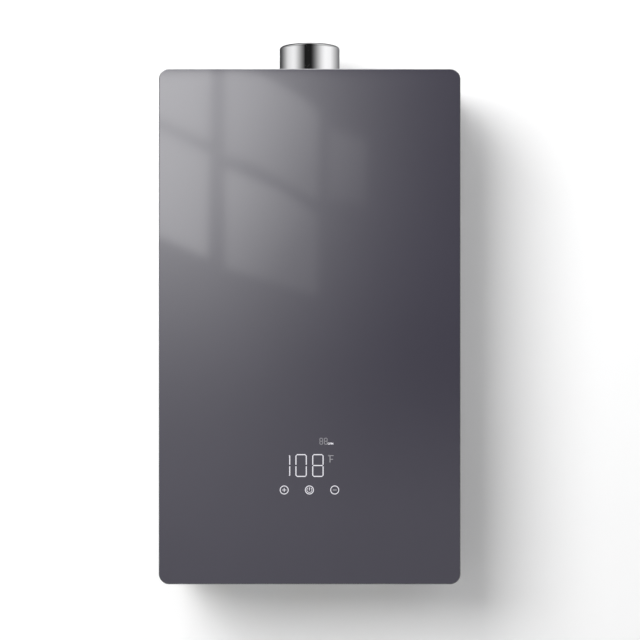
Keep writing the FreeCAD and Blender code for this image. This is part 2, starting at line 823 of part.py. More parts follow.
def level_plate(label, up, openings):
    """A top (up is 1) or bottom (up is -1) plate with its flanges and notches for the cover's screws."""
    low, high = (ROOF, FRAME_Z) if up > 0 else (f"-{FRAME_Z}", FLOOR)
    front_lip = (f"{ROOF} - return_flange_tall", ROOF) if up > 0 else (FLOOR, f"{FLOOR} + return_flange_tall")
    rear_lip = (f"{ROOF} - rear_flange_tall", ROOF) if up > 0 else (FLOOR, f"{FLOOR} + rear_flange_tall")
    wide = f"({FRAME_X} - {FRAME_CORNER})"
    short = f"({SCREW_X} - 3*screw_head)"
    plate = fuse([
        box((f"-{wide}", wide), (f"-{PLATE_FRONT}", "-sheet_thick"), (low, high)),
        box((f"-{wide}", wide), ("-2*sheet_thick", "-sheet_thick"), rear_lip),
        box((f"-{short}", short), (f"-{PLATE_FRONT}", f"-{PLATE_FRONT} + sheet_thick"), front_lip),
    ])
    through = (f"{low} - sheet_thick", f"{high} + sheet_thick")
    cuts = rivet_shanks() + [rod("Z", radius, x, y, through) for radius, x, y in openings]
    for side in (-1, 1):
        x = f"{side}*{SCREW_X}"
        cuts.append(box((f"{x} - {HOLE}", f"{x} + {HOLE}"),
                        (f"-{PLATE_FRONT} - sheet_thick", f"-{SCREW_Y} + {HOLE}"), through))
    if up < 0:
        for slot in range(count("air_slots")):
            left = f"(air_slot_left + {slot}*vent_pitch)"
            cuts.append(box((left, f"{left} + vent_tall"), ("-air_slot_back - air_slot_long", "-air_slot_back"),
                            through))
    part(cut(plate, cuts), label)


def top_plate():
    """Top plate with the flue opening."""
    openings = [("collar_radius - collar_wall", "0", "-flue_back")]
    openings += [(HOLE, *collar_screw_place(quarter)) for quarter in range(4)]
    level_plate("top_plate", 1, openings)


def bottom_plate():
    """Bottom plate with openings for the three fittings, the drain knob, the cord gland and air."""
    openings = [("shank_radius + hole_gap", x, "-fitting_back") for x in (HOT_X, "0", PIPE_X)]
    openings.append(("drain_knob_radius + sheet_gap", DRAIN_X, "-fitting_back"))
    openings.append(("gland_radius", "-gland_left", "-gland_back"))
    level_plate("bottom_plate", -1, openings)


def flue_gasket():
    """Soft ring between the collar's flange and the top plate."""
    ring = cut(rod("Z", COLLAR_FLANGE, "0", "-flue_back", (FRAME_Z, COLLAR_SEAT)),
               [rod("Z", "collar_radius - collar_wall", "0", "-flue_back", (ROOF, COLLAR_TOP))]
               + [rod("Z", HOLE, *collar_screw_place(quarter), (ROOF, COLLAR_TOP)) for quarter in range(4)])
    part(ring, "flue_gasket")


def flue_collar():
    """Flue outlet: a flange, a round spigot and a rim rolled inwards."""
    bore = "(collar_radius - collar_wall)"
    rise = f"({COLLAR_TOP} - {COLLAR_SEAT})"
    body = turned("Z", [
        (bore, "0"), (COLLAR_FLANGE, "0"), (COLLAR_FLANGE, "sheet_thick"),
        ("collar_radius", "sheet_thick"), ("collar_radius", rise), (MOUTH, rise),
        (MOUTH, f"{rise} - collar_wall"), (bore, f"{rise} - collar_wall"),
    ], "0", "-flue_back", COLLAR_SEAT)
    dress(body, "Fillet", "rim_round", ring_at("collar_radius", rise))
    dress(body, "Fillet", "rim_round - collar_wall", ring_at(bore, f"{rise} - collar_wall"))
    holes = [rod("Z", HOLE, *collar_screw_place(quarter), (ROOF, COLLAR_TOP)) for quarter in range(4)]
    part(cut(body, holes), "flue_collar")


def chassis_screws():
    """Four screws through the collar's flange and four that hold the motor plate to the fan housing."""
    screws = []
    for quarter in range(4):
        x, y = collar_screw_place(quarter)
        seat = f"({COLLAR_SEAT} + sheet_thick)"
        screws.append(fuse([rod("Z", "screw_head", x, y, (seat, f"{seat} + screw_head_tall")),
                            rod("Z", "screw_shank", x, y, (f"{seat} - screw_long", seat))]))
    for number in range(4):
        x, z = fan_screw_place(number)
        seat = f"(-{FAN_FRONT} - motor_plate_thick)"
        screws.append(fuse([rod("Y", "screw_head", x, (f"{seat} - screw_head_tall", seat), z),
                            rod("Y", "screw_shank", x, (seat, f"{seat} + screw_long"), z)]))
    part(together(screws), "chassis_screws")


def flap_ring():
    """Ring inside the collar that carries the flap's pin, with a lug that the shut flap rests on."""
    bore = "(collar_radius - collar_wall)"
    span = (f"{FLAP_Z} - flap_ring_tall/2", f"{FLAP_Z} + flap_ring_tall/2")
    ring = cut(rod("Z", bore, "0", "-flue_back", span), [rod("Z", FLAP_RING_BORE, "0", "-flue_back", span)])
    lug = box(("-flap_offset", "flap_offset"),
              (f"-flue_back - {bore} + flap_ring_wall/2", f"-flue_back - {bore} + 2*flap_ring_wall"),
              (span[0], f"{FLAP_Z} - flap_thick/2 - seat_gap"))
    pin = rod("X", "flap_pin_radius", (f"-{bore}", bore), f"-{FLAP_Y}", FLAP_Z)
    part(cut(fuse([ring, lug]), [pin]), "flap_ring")


def flap_pin():
    """Pin that the flap turns on, held in the ring at both ends."""
    reach = f"sqrt(({FLAP_RING_BORE} + flap_ring_wall/2)^2 - flap_offset^2)"
    part(rod("X", "flap_pin_radius", (f"-{reach}", reach), f"-{FLAP_Y}", FLAP_Z), "flap_pin")


def flue_flap():
    """Draught flap: a thin disc with a knuckle round its pin, slotted for the pin on both sides of it."""
    across = ("-flap_knuckle_half", "flap_knuckle_half")
    thick = (f"{FLAP_Z} - flap_thick/2", f"{FLAP_Z} + flap_thick/2")
    disc = rod("Z", FLAP_RADIUS, "0", "-flue_back", thick)
    slots = [box(x, (f"-{FLAP_Y} - flap_slot", f"-{FLAP_Y} + flap_slot"), thick)
             for x in (("flap_knuckle_half", FLAP_RADIUS), (f"-{FLAP_RADIUS}", "-flap_knuckle_half"))]
    knuckle = rod("X", "flap_knuckle_radius", across, f"-{FLAP_Y}", FLAP_Z)
    bore = rod("X", "flap_pin_radius + run_gap", across, f"-{FLAP_Y}", FLAP_Z)
    part(cut(fuse([cut(disc, slots), knuckle]), [bore]), "flue_flap")


def scroll(inset, back, front, top):
    """The fan housing's outline up to a height, drawn in by an inset, between two distances from the wall."""
    centre = at("-fan_left", f"-({back})", FAN_Z)
    right = value("outlet_half") - inset
    start = math.radians(value("scroll_from"))

    def on_scroll(turn):
        radius = value("scroll_start") + value("scroll_growth") * (turn - start) / (2 * math.pi - start) - inset
        return centre + Vector(radius * math.cos(turn), 0, radius * math.sin(turn))

    steps = 5
    step = (2 * math.pi - start) / steps
    arcs = [Part.Arc(on_scroll(start + i * step), on_scroll(start + (i + 0.5) * step),
                     on_scroll(start + (i + 1) * step)).toShape() for i in range(steps)]
    tongue = on_scroll(start)
    cheek = on_scroll(2 * math.pi)
    corner = Vector(-right, centre.y, value(top))
    other = Vector(cheek.x, centre.y, value(top))
    lines = [Part.makeLine(cheek, other), Part.makeLine(other, corner), Part.makeLine(corner, tongue)]
    face = Part.Face(Part.Wire(arcs + lines))
    return face.extrude(Vector(0, -value(f"({front}) - ({back})"), 0))


def fan_volute():
    """Scroll housing: inlet eye towards the wall, wheel opening in front, outlet up into the collar."""
    wall = value("sheet_thick")
    shape = scroll(0, "fan_back", FAN_FRONT, ROOF)
    half_x = value("outlet_half + outlet_flange")
    half_y = value("fan_deep/2 + outlet_flange")
    flange = Part.makeBox(2 * half_x, 2 * half_y, wall,
                          Vector(-half_x, -value("flue_back") - half_y, value(ROOF) - wall))
    shape = shape.fuse(flange)
    shape = shape.cut(scroll(wall, "fan_back + sheet_thick", f"{FAN_FRONT} - sheet_thick", FRAME_Z))
    deep = value("fan_deep")
    rear = at("-fan_left", "-fan_back", FAN_Z)
    front = at("-fan_left", f"-{FAN_FRONT}", FAN_Z)
    eye = Part.makeCylinder(value("eye_radius"), deep / 2, rear, Vector(0, -1, 0))
    mouth = Part.makeCylinder(value("wheel_radius + wheel_gap/2"), deep / 2, front, Vector(0, 1, 0))
    shape = shape.cut(eye).cut(mouth)
    for quarter in range(4):
        x, y = collar_screw_place(quarter)
        shape = shape.cut(Part.makeCylinder(value(HOLE), 4 * wall, at(x, y, f"{ROOF} - 2*sheet_thick")))
    for number in range(4):
        x, z = fan_screw_place(number)
        shape = shape.cut(Part.makeCylinder(value("screw_shank"), deep / 2, at(x, f"-{FAN_FRONT}", z),
                                            Vector(0, 1, 0)))
    set_shape(shape, "fan_volute")


def fan_impeller():
    """Forward-curved wheel: a hub, a disc on the motor's side, a ring on the eye's side and blades between."""
    centre = at("-fan_left", WHEEL_BACK, FAN_Z)
    outer = value("wheel_radius")
    inner = value("wheel_inner")
    thick = value("blade_thick")
    wide = value("wheel_wide")
    towards_room = Vector(0, -1, 0)
    disc = Part.makeCylinder(outer, thick, centre + towards_room * (wide - thick), towards_room)
    ring = Part.makeCylinder(outer, thick, centre, towards_room)
    ring = ring.cut(Part.makeCylinder(inner, thick, centre, towards_room))
    hub = Part.makeCylinder(value("hub_radius"), value("hub_long"),
                            centre + towards_room * (wide - value("hub_long")), towards_room)
    middle = (outer + inner) / 2
    depth = (outer - inner - thick) / 2
    blade_axis = centre + Vector(middle, 0, 0)
    blade = Part.makeCylinder(depth, wide, blade_axis, towards_room)
    blade = blade.cut(Part.makeCylinder(depth - thick, wide, blade_axis, towards_room))
    keep = Part.makeBox(2 * depth, wide, depth, blade_axis + Vector(-depth, -wide, 0))
    blade = blade.common(keep)
    blades = []
    for number in range(count("blade_count")):
        one = blade.copy()
        one.rotate(centre, Vector(0, 1, 0), 360 * number / count("blade_count"))
        blades.append(one)
    wheel = disc.multiFuse([ring, hub] + blades).removeSplitter()
    bore = Part.makeCylinder(value("shaft_radius"), wide, centre, towards_room)
    set_shape(wheel.cut(bore), "fan_impeller")


def fan_shaft():
    """Motor shaft, through both bearings into the wheel's hub."""
    back = f"({WHEEL_BACK} - wheel_wide + hub_long)"
    part(rod("Y", "shaft_radius", "-fan_left", (f"-{MOTOR_FRONT} - shaft_radius/2", back), FAN_Z), "fan_shaft")


def motor_plate():
    """Round plate that closes the fan housing in front and carries the motor."""
    plate = rod("Y", "motor_plate_radius", "-fan_left", (f"-{MOTOR_BACK}", f"-{FAN_FRONT}"), FAN_Z)
    cuts = [rod("Y", "bearing_radius", "-fan_left", (f"-{MOTOR_BACK}", f"-{FAN_FRONT}"), FAN_Z)]
    for number in range(4):
        x, z = fan_screw_place(number)
        cuts.append(rod("Y", "screw_shank", x, (f"-{MOTOR_BACK}", f"-{FAN_FRONT}"), z))
    part(cut(plate, cuts), "motor_plate")


def motor_housing():
    """Motor can with a bearing seat in its front."""
    bearing = "(motor_long - motor_wall)"
    part(turned("Y", [
        ("motor_radius - motor_wall", "0"), ("motor_radius", "0"), ("motor_radius", "motor_long"),
        ("bearing_radius", "motor_long"), ("bearing_radius", bearing), ("motor_radius - motor_wall", bearing),
    ], "-fan_left", f"-{MOTOR_BACK}", FAN_Z), "motor_housing")


def motor_stator():
    """Laminated ring with its windings, pressed into the can."""
    part(turned("Y", [
        ("rotor_radius + sheet_gap", "0"), ("motor_radius - motor_wall", "0"),
        ("motor_radius - motor_wall", "stator_long"), ("rotor_radius + sheet_gap", "stator_long"),
    ], "-fan_left", f"-{MOTOR_BACK} - bearing_long/2", FAN_Z), "motor_stator")


def motor_rotor():
    """Magnet rotor pressed on the shaft."""
    part(turned("Y", [
        ("shaft_radius", "0"), ("rotor_radius", "0"), ("rotor_radius", "stator_long - bearing_long/2"),
        ("shaft_radius", "stator_long - bearing_long/2"),
    ], "-fan_left", f"-{MOTOR_BACK} - bearing_long + motor_wall/2", FAN_Z), "motor_rotor")


def fan_bearings():
    """Two plain bearings for the motor shaft."""
    rings = []
    for back in (FAN_FRONT, f"({MOTOR_FRONT} - bearing_long)"):
        span = (f"-{back} - bearing_long", f"-{back}")
        rings.append(cut(rod("Y", "bearing_radius", "-fan_left", span, FAN_Z),
                         [rod("Y", "shaft_radius + run_gap", "-fan_left", span, FAN_Z)]))
    part(together(rings), "fan_bearings")


def exhaust_hood():
    """Hood that gathers the burnt gas over the exchanger and leads it to the fan's eye."""
    wall = "shell_wall"
    skirt_top = f"({SHELL_TOP} + hood_skirt_tall)"
    chamber_top = f"({skirt_top} + hood_chamber_tall)"
    chamber_back = f"({SHELL_BACK} - hood_overhang)"
    right = "(shell_wide/2 - 2*fan_left)"
    outside = fuse([
        box((f"-{SHELL_X}", SHELL_X), (f"-{SHELL_FRONT}", f"-{SHELL_BACK}"), (SHELL_TOP, skirt_top)),
        box((f"-{SHELL_X}", right), ("-fan_back", f"-{chamber_back}"), (f"{skirt_top} - {wall}", chamber_top)),
    ])
    inside = fuse([
        box((f"-{SHELL_X} + {wall}", f"{SHELL_X} - {wall}"),
            (f"-{SHELL_FRONT} + {wall}", f"-{SHELL_BACK} - {wall}"),
            (f"{SHELL_TOP} - {wall}", f"{skirt_top} - {wall}")),
        box((f"-{SHELL_X} + {wall}", f"{right} - {wall}"), (f"-fan_back + {wall}", f"-{SHELL_BACK} - {wall}"),
            (f"{SHELL_TOP} - {wall}", f"{chamber_top} - {wall}")),
        box((f"-{SHELL_X} + {wall}", f"{right} - {wall}"), (f"-fan_back + {wall}", f"-{chamber_back} - {wall}"),
            (skirt_top, f"{chamber_top} - {wall}")),
    ])
    through_front = ("-fan_back - wheel_gap", f"-fan_back + {wall} + seat_gap")
    eye = rod("Y", "eye_radius", "-fan_left", through_front, FAN_Z)
    part(cut(outside, [inside, eye]), "exhaust_hood")


def tube_places():
    """Distance from the wall and height of each exchanger tube, alternately low and high."""
    return [(f"({TUBE_FIRST_Y} + {i}*tube_pitch)", f"({TUBE_Z} + {i % 2}*tube_zigzag)")
            for i in range(count("tube_count"))]


def exchanger_shell():
    """Copper jacket, open above and below, with a hole at each tube's end and for each electrode."""
    wall = "shell_wall"
    outside = upright((f"-{SHELL_X}", SHELL_X), (f"-{SHELL_FRONT}", f"-{SHELL_BACK}"),
                      (SHELL_BOTTOM, SHELL_TOP), "shell_corner")
    cuts = [upright((f"-{SHELL_X} + {wall}", f"{SHELL_X} - {wall}"),
                    (f"-{SHELL_FRONT} + {wall}", f"-{SHELL_BACK} - {wall}"),
                    (f"{SHELL_BOTTOM} - {wall}", f"{SHELL_TOP} + {wall}"), f"shell_corner - {wall}")]
    across = (f"-{SHELL_X} - {wall}", f"{SHELL_X} + {wall}")
    for back, height in tube_places():
        cuts.append(rod("X", "tube_radius", across, f"-{back}", height))
    for x in electrode_places():
        cuts.append(rod("Y", "insulator_radius", x, (f"-{SHELL_FRONT} - {wall}", f"-{SHELL_FRONT} + 2*{wall}"),
                        ELECTRODE_Z))
    part(cut(outside, cuts), "exchanger_shell")


def exchanger_fins():
    """Thin copper fins on the tubes."""
    deep = value("shell_deep - 2*shell_wall - 2*fin_edge_gap")
    thick = value("fin_thick")
    first = -value("fin_pitch") * (count("fin_count") - 1) / 2 - thick / 2
    corner = at("0", f"-{SHELL_FRONT} + shell_wall + fin_edge_gap", f"{SHELL_TOP} - fin_drop - fin_tall")
    fin = Part.makeBox(thick, deep, value("fin_tall"), corner + Vector(first, 0, 0))
    for back, height in tube_places():
        fin = fin.cut(Part.makeCylinder(value("tube_radius"), 3 * thick,
                                        Vector(first - thick, -value(back), value(height)), Vector(1, 0, 0)))
    fins = []
    for number in range(count("fin_count")):
        fins.append(fin.translated(Vector(number * value("fin_pitch"), 0, 0)))
    set_shape(Part.makeCompound(fins), "exchanger_fins")


def exchanger_coil():
    """Water tube that crosses the fins five times, joined by return bends outside the shell."""
    places = [(-value(back), value(height)) for back, height in tube_places()]
    ends = value(f"{SHELL_X} + bend_stand_off")
    half_step = math.hypot(value("tube_pitch"), value("tube_zigzag")) / 2
    side = 1
    points = [Vector(side * ends, *places[0])]
    bends = []
    for here, beyond in zip(places, places[1:]):
        side = -side
        points += [Vector(side * (ends + half_step), *here), Vector(side * (ends + half_step), *beyond)]
        bends += [half_step, half_step]
    points.append(Vector(-side * ends, *places[-1]))
    set_shape(tube(rounded_route(points, bends), value("tube_radius"), value("tube_wall")), "exchanger_coil")


def cold_pipe():
    """Cold pipe: up the right side, once round the shell and into the first exchanger tube."""
    first_back, first_height = tube_places()[0]
    half_step = value(f"({first_back} - {WRAP_BACK})/2")
    socket_x = f"({SHELL_X} + bend_stand_off)"
    turn_x = f"({socket_x} + wrap_turn_out)"
    bend = value("pipe_bend")
    points = [
        at(PIPE_X, "-fitting_back", SENSOR_TOP), at(PIPE_X, "-fitting_back", WRAP_Z),
        at(PIPE_X, f"-{WRAP_FRONT}", WRAP_Z), at(f"-{PIPE_X}", f"-{WRAP_FRONT}", WRAP_Z),
        at(f"-{PIPE_X}", f"-{WRAP_BACK}", WRAP_Z), at(turn_x, f"-{WRAP_BACK}", first_height),
        at(turn_x, f"-{first_back}", first_height), at(socket_x, f"-{first_back}", first_height),
    ]
    bends = [bend, bend, bend, bend, half_step, half_step]
    set_shape(tube(rounded_route(points, bends), value("pipe_radius"), value("pipe_wall")), "cold_pipe")


def hot_pipe():
    """Hot pipe: from the last exchanger tube down the left side to the hot fitting."""
    last_back, last_height = tube_places()[-1]
    points = [
        at(f"-{SHELL_X} - bend_stand_off", f"-{last_back}", last_height),
        at(HOT_X, f"-{last_back}", last_height),
        at(HOT_X, f"-{last_back}", SHELL_BOTTOM), at(HOT_X, "-fitting_back", TRAY_BOTTOM),
        at(HOT_X, "-fitting_back", NECK_TOP),
    ]
    bends = [value("pipe_bend")] * 3
    set_shape(tube(rounded_route(points, bends), value("pipe_radius"), value("pipe_wall")), "hot_pipe")


def bar_places():
    """Distance of each burner bar's middle from the heater's middle."""
    return [f"({i} - (bar_count - 1)/2)*bar_pitch" for i in range(count("bar_count"))]


def burner_tray():
    """Steel tray under the exchanger, open above, with air holes below and a mouth before each bar."""
    outside = box((f"-{SHELL_X}", SHELL_X), (f"-{SHELL_FRONT}", f"-{SHELL_BACK}"), (TRAY_BOTTOM, SHELL_BOTTOM))
    cuts = [box((f"-{SHELL_X} + sheet_thick", f"{SHELL_X} - sheet_thick"),
                (f"-{SHELL_FRONT} + sheet_thick", f"-{SHELL_BACK} - sheet_thick"),
                (f"{TRAY_BOTTOM} + sheet_thick", f"{SHELL_BOTTOM} + sheet_thick"))]
    front_wall = (f"-{SHELL_FRONT} - sheet_thick", f"-{SHELL_FRONT} + 2*sheet_thick")
    for x in bar_places():
        cuts.append(rod("Y", "bar_mouth", x, front_wall, MOUTH_Z))
    for i in range(count("bar_count") + 1):
        gap = f"(({i} - bar_count/2)*bar_pitch)"
        cuts.append(box((f"{gap} - air_gap/2", f"{gap} + air_gap/2"),
                        (f"-{SHELL_FRONT} + bar_thick", f"-{SHELL_BACK} - bar_thick"),
                        (f"{TRAY_BOTTOM} - sheet_thick", f"{TRAY_BOTTOM} + 2*sheet_thick")))
    part(cut(outside, cuts), "burner_tray")


def burner_bars():
    """Upright burner bars with flame slits on top and a mouth at the gas end."""
    thick = value("bar_thick")
    deep = value("bar_deep")
    tall = value("bar_tall")
    front = -value(SHELL_FRONT) + value("sheet_thick + bar_gap")
    bottom = value(BAR_BOTTOM)
    bar = Part.makeBox(thick, deep, tall, Vector(-thick / 2, front, bottom))
    tool = Part.makeCylinder(value("bar_mouth"), deep / 2, Vector(0, front, value(MOUTH_Z)), Vector(0, 1, 0))
    tools = [tool]
    first = front + (deep - value("slit_pitch") * (count("slit_count") - 1)) / 2
    for slit in range(count("slit_count")):
        y = first + slit * value("slit_pitch") - value("slit_wide") / 2
        tools.append(Part.makeBox(thick * 2, value("slit_wide"), value("slit_deep") * 2,
                                  Vector(-thick, y, bottom + tall - value("slit_deep"))))
    bar = bar.cut(tools)
    set_shape(Part.makeCompound([bar.translated(Vector(value(x), 0, 0)) for x in bar_places()]), "burner_bars")


def gas_manifold():
    """Gas rail across the burner, with lugs to the tray and a hole behind each injector."""
    back = f"({SHELL_FRONT} + manifold_stand_off)"
    front = f"({back} + manifold_deep)"
    low = f"({MOUTH_Z} - manifold_tall/2)"
    high = f"({MOUTH_Z} + manifold_tall/2)"
    wall = "manifold_wall"
    pieces = [box(("-manifold_half", "manifold_half"), (f"-{front}", f"-{back}"), (low, high))]
    for side in (-1, 1):
        ends = sorted((f"{side}*manifold_half", f"{side}*{SHELL_X}"), key=value)
        pieces.append(box(ends, (f"-{front}", f"-{SHELL_FRONT}"), (low, high)))
    cuts = [box((f"-manifold_half + {wall}", f"manifold_half - {wall}"),
                (f"-{front} + {wall}", f"-{back} - {wall}"), (f"{low} + {wall}", f"{high} - {wall}"))]
    for x in bar_places():
        cuts.append(rod("Y", "injector_tip", x, (f"-{back} - 2*{wall}", f"-{back} + {wall}"), MOUTH_Z))
    cuts.append(rod("Z", "gas_pipe_radius - pipe_wall", "0", f"-{back} - manifold_deep/2",
                    (f"{low} - {wall}", f"{low} + 2*{wall}")))
    part(cut(fuse(pieces), cuts), "gas_manifold")


def injectors():
    """Brass injectors, one into each bar's mouth."""
    base = f"({SHELL_FRONT} + manifold_stand_off)"
    nozzles = []
    for x in bar_places():
        body = rod("Y", "injector_radius", x, (f"-{base}", f"-{base} + injector_stub"), MOUTH_Z)
        tip = rod("Y", "injector_tip", x, (f"-{base}", f"-{SHELL_FRONT} + sheet_thick"), MOUTH_Z)
        bore = rod("Y", "injector_bore", x, (f"-{base}", f"-{SHELL_FRONT} + sheet_thick"), MOUTH_Z)
        nozzles.append(cut(fuse([body, tip]), [bore]))
    part(together(nozzles), "injectors")


def electrode_places():
    """Distance of the two spark electrodes and the flame sensor from the heater's middle."""
    return [f"(-electrode_left + {i}*electrode_apart)" for i in range(3)]


def electrodes():
    """Two spark electrodes and a flame sensor: ceramic sleeves with metal rods that bend down to the burner."""
    pieces = []
    for x in electrode_places():
        inner = f"(-{SHELL_FRONT} + insulator_long/2)"
        outer = f"(-{SHELL_FRONT} - insulator_long/2)"
        sleeve = rod("Y", "insulator_radius", x, (outer, inner), ELECTRODE_Z)
        elbow = f"({inner} + 2*insulator_radius)"
        tip = rod("Y", "rod_radius", x, (inner, elbow), ELECTRODE_Z)
        drop = rod("Z", "rod_radius", x, elbow, (f"{ELECTRODE_Z} - rod_drop", ELECTRODE_Z))
        pin = rod("Y", "rod_radius", x, (f"-{LEAD_FRONT} - lead_radius", outer), ELECTRODE_Z)
        pieces.append(fuse([sleeve, tip, drop, pin]))
    part(together(pieces), "electrodes")


def frame_brackets():
    """Folded brackets between the back plate and the exchanger's shell and burner tray."""
    pieces = []
    for side in (-1, 1):
        for level in (SHELL_BOTTOM, f"({TRAY_BOTTOM} + bracket_tall)"):
            x = sorted((f"{side}*bracket_in", f"{side}*(bracket_in + bracket_wide)"), key=value)
            outside = box(x, (f"-{SHELL_BACK}", "-sheet_thick"), (level, f"{level} + bracket_tall"))
            hollow = box((f"{x[0]} - sheet_thick", f"{x[1]} + sheet_thick"), (f"-{SHELL_BACK} + sheet_thick",
                         "-2*sheet_thick"), (f"{level} - sheet_thick", f"{level} + bracket_tall - sheet_thick"))
            pieces.append(cut(outside, [hollow]))
    part(together(pieces), "frame_brackets")


def fitting_profile():
    """Profile of a threaded bottom fitting: (radius, distance above the thread's lower end)."""
    thread_top = "thread_long"
    shank_top = f"(thread_long + {FLOOR} - {NUT_FACE})"
    flange_top = f"({shank_top} + flange_tall)"
    top = f"({shank_top} + neck_top)"
    return [
        ("bore_radius", "0"), ("thread_radius - thread_chamfer", "0"), ("thread_radius", "thread_chamfer"),
        ("thread_radius", thread_top), ("shank_radius", thread_top), ("shank_radius", shank_top),
        ("flange_radius", shank_top), ("flange_radius", flange_top), ("neck_radius", flange_top),
        ("neck_radius", top), ("bore_radius", top),
    ]


def gas_inlet():
    """Gas fitting: a thread below the bottom plate and a flange and neck above it."""
    part(turned("Z", fitting_profile(), "0", "-fitting_back", THREAD_END), "gas_inlet")


def hot_outlet():
    """Hot water fitting."""
    part(turned("Z", fitting_profile(), HOT_X, "-fitting_back", THREAD_END), "hot_outlet")


def cold_inlet():
    """Cold water fitting, cast with the drain's branch and boss."""
    body = turned("Z", fitting_profile(), PIPE_X, "-fitting_back", THREAD_END)
    high = f"({DRAIN_SEAT} + drain_boss_radius)"
    low = f"({FLOOR} + flange_tall)"
    middle = f"({DRAIN_SEAT} + drain_seat_bore + 1)"
    boss = rod("Z", "drain_boss_radius", DRAIN_X, "-fitting_back", (low, high))
    branch = rod("X", "drain_bore + pipe_wall", (PIPE_X, DRAIN_X), "-fitting_back", middle)
    cuts = [
        rod("Z", "bore_radius", PIPE_X, "-fitting_back", (THREAD_END, NECK_TOP)),
        rod("Z", "drain_bore", DRAIN_X, "-fitting_back", (low, DRAIN_SEAT)),
        rod("Z", "drain_seat_bore", DRAIN_X, "-fitting_back", (DRAIN_SEAT, middle)),
        rod("X", "drain_seat_bore", (PIPE_X, DRAIN_X), "-fitting_back", middle),
    ]
    part(cut(fuse([body, boss, branch]), cuts), "cold_inlet")


def lock_nuts():
    """Hexagon nuts that clamp the three fittings to the bottom plate."""
    nuts = []
    for x in (HOT_X, "0", PIPE_X):
        nut = doc.addObject("Part::Prism", "nut")
        nut.Polygon = 6
        bind(nut, Circumradius="nut_across/2/cos(30)", Height="nut_tall")
        place(nut, x, "-fitting_back", NUT_FACE)
        span = (f"{NUT_FACE} - nut_tall", FLOOR)
        nuts.append(cut(nut, [rod("Z", "shank_radius", x, "-fitting_back", span)]))
    part(together(nuts), "lock_nuts")


def gas_valve_body():
    """Cast valve block with two chambers in front and the gas way up to the burner."""
    block = box(("-valve_half", "valve_half"), (f"-{VALVE_FRONT}", "-valve_back"), (NECK_TOP, VALVE_TOP))
    chamber_back = f"(-{VALVE_FRONT} + chamber_deep)"
    cuts = []
    for side in (-1, 1):
        x = f"({side}*plunger_apart/2)"
        cuts.append(rod("Y", "chamber_radius", x, (f"-{VALVE_FRONT}", chamber_back), PLUNGER_Z))
        cuts.append(rod("Y", "port_radius", x, (chamber_back, f"-fitting_back + bore_radius"), PLUNGER_Z))
    way = f"({NECK_TOP} + gas_way_rise)"
    left = "(-plunger_apart/2)"
    cuts += [
        rod("Z", "bore_radius", "0", "-fitting_back", (NECK_TOP, way)),
        rod("X", "port_radius", (left, "0"), "-fitting_back", way),
        rod("Y", "port_radius", left, (CHAMBER_Y, "-fitting_back"), way),
        rod("Z", "port_radius", left, CHAMBER_Y, (way, PLUNGER_Z)),
        rod("X", "port_radius", (left, "plunger_apart/2"), "-fitting_back + port_radius", PLUNGER_Z),
        rod("Z", "gas_pipe_radius - pipe_wall", "plunger_apart/2", CHAMBER_Y, (PLUNGER_Z, VALVE_TOP)),
    ]
    part(cut(block, cuts), "gas_valve_body")


def solenoid_coil(label, side):
    """A wound coil in a can with a fixed core in front and a bore for its plunger."""
    part(turned("Y", [
        ("plunger_bore", "0"), ("coil_radius", "0"), ("coil_radius", "coil_long"), ("0", "coil_long"),
        ("0", "coil_long - coil_core_long"), ("plunger_bore", "coil_long - coil_core_long"),
    ], f"({side}*plunger_apart/2)", f"-{VALVE_FRONT}", PLUNGER_Z), label)


def solenoid_plunger(label, side):
    """A plunger with a sealing disc, which slides in its coil."""
    seat = "disc_seat_gap"
    disc_front = f"({seat} + disc_thick)"
    part(turned("Y", [
        ("0", seat), ("disc_radius", seat), ("disc_radius", disc_front), ("plunger_radius", disc_front),
        ("plunger_radius", "chamber_deep + plunger_reach"), ("0", "chamber_deep + plunger_reach"),
    ], f"({side}*plunger_apart/2)", f"-{VALVE_FRONT} + chamber_deep", PLUNGER_Z), label)


def solenoid_spring(label, side):
    """The spring that presses a plunger's disc on its seat."""
    length = "(chamber_deep - disc_seat_gap - disc_thick - 2*spring_wire)"
    start = at(f"({side}*plunger_apart/2)", f"-{VALVE_FRONT} + spring_wire + {length}", PLUNGER_Z)
    set_shape(coil_spring(value("spring_radius"), value("spring_wire"), count("spring_turns"), value(length),
                          start, Vector(0, -1, 0)), label)


def gas_pipe():
    """Pipe from the gas valve forwards and up to the manifold."""
    front = f"(-{SHELL_FRONT} - manifold_stand_off - manifold_deep/2)"
    turn = f"({VALVE_TOP} + 1.25*gas_pipe_bend)"
    x = "plunger_apart/2"
    points = [at(x, CHAMBER_Y, VALVE_TOP), at(x, CHAMBER_Y, turn), at("0", front, turn),
              at("0", front, f"{MOUTH_Z} - manifold_tall/2")]
    bends = [value("gas_pipe_bend")] * 2
    set_shape(tube(rounded_route(points, bends), value("gas_pipe_radius"), value("pipe_wall")), "gas_pipe")


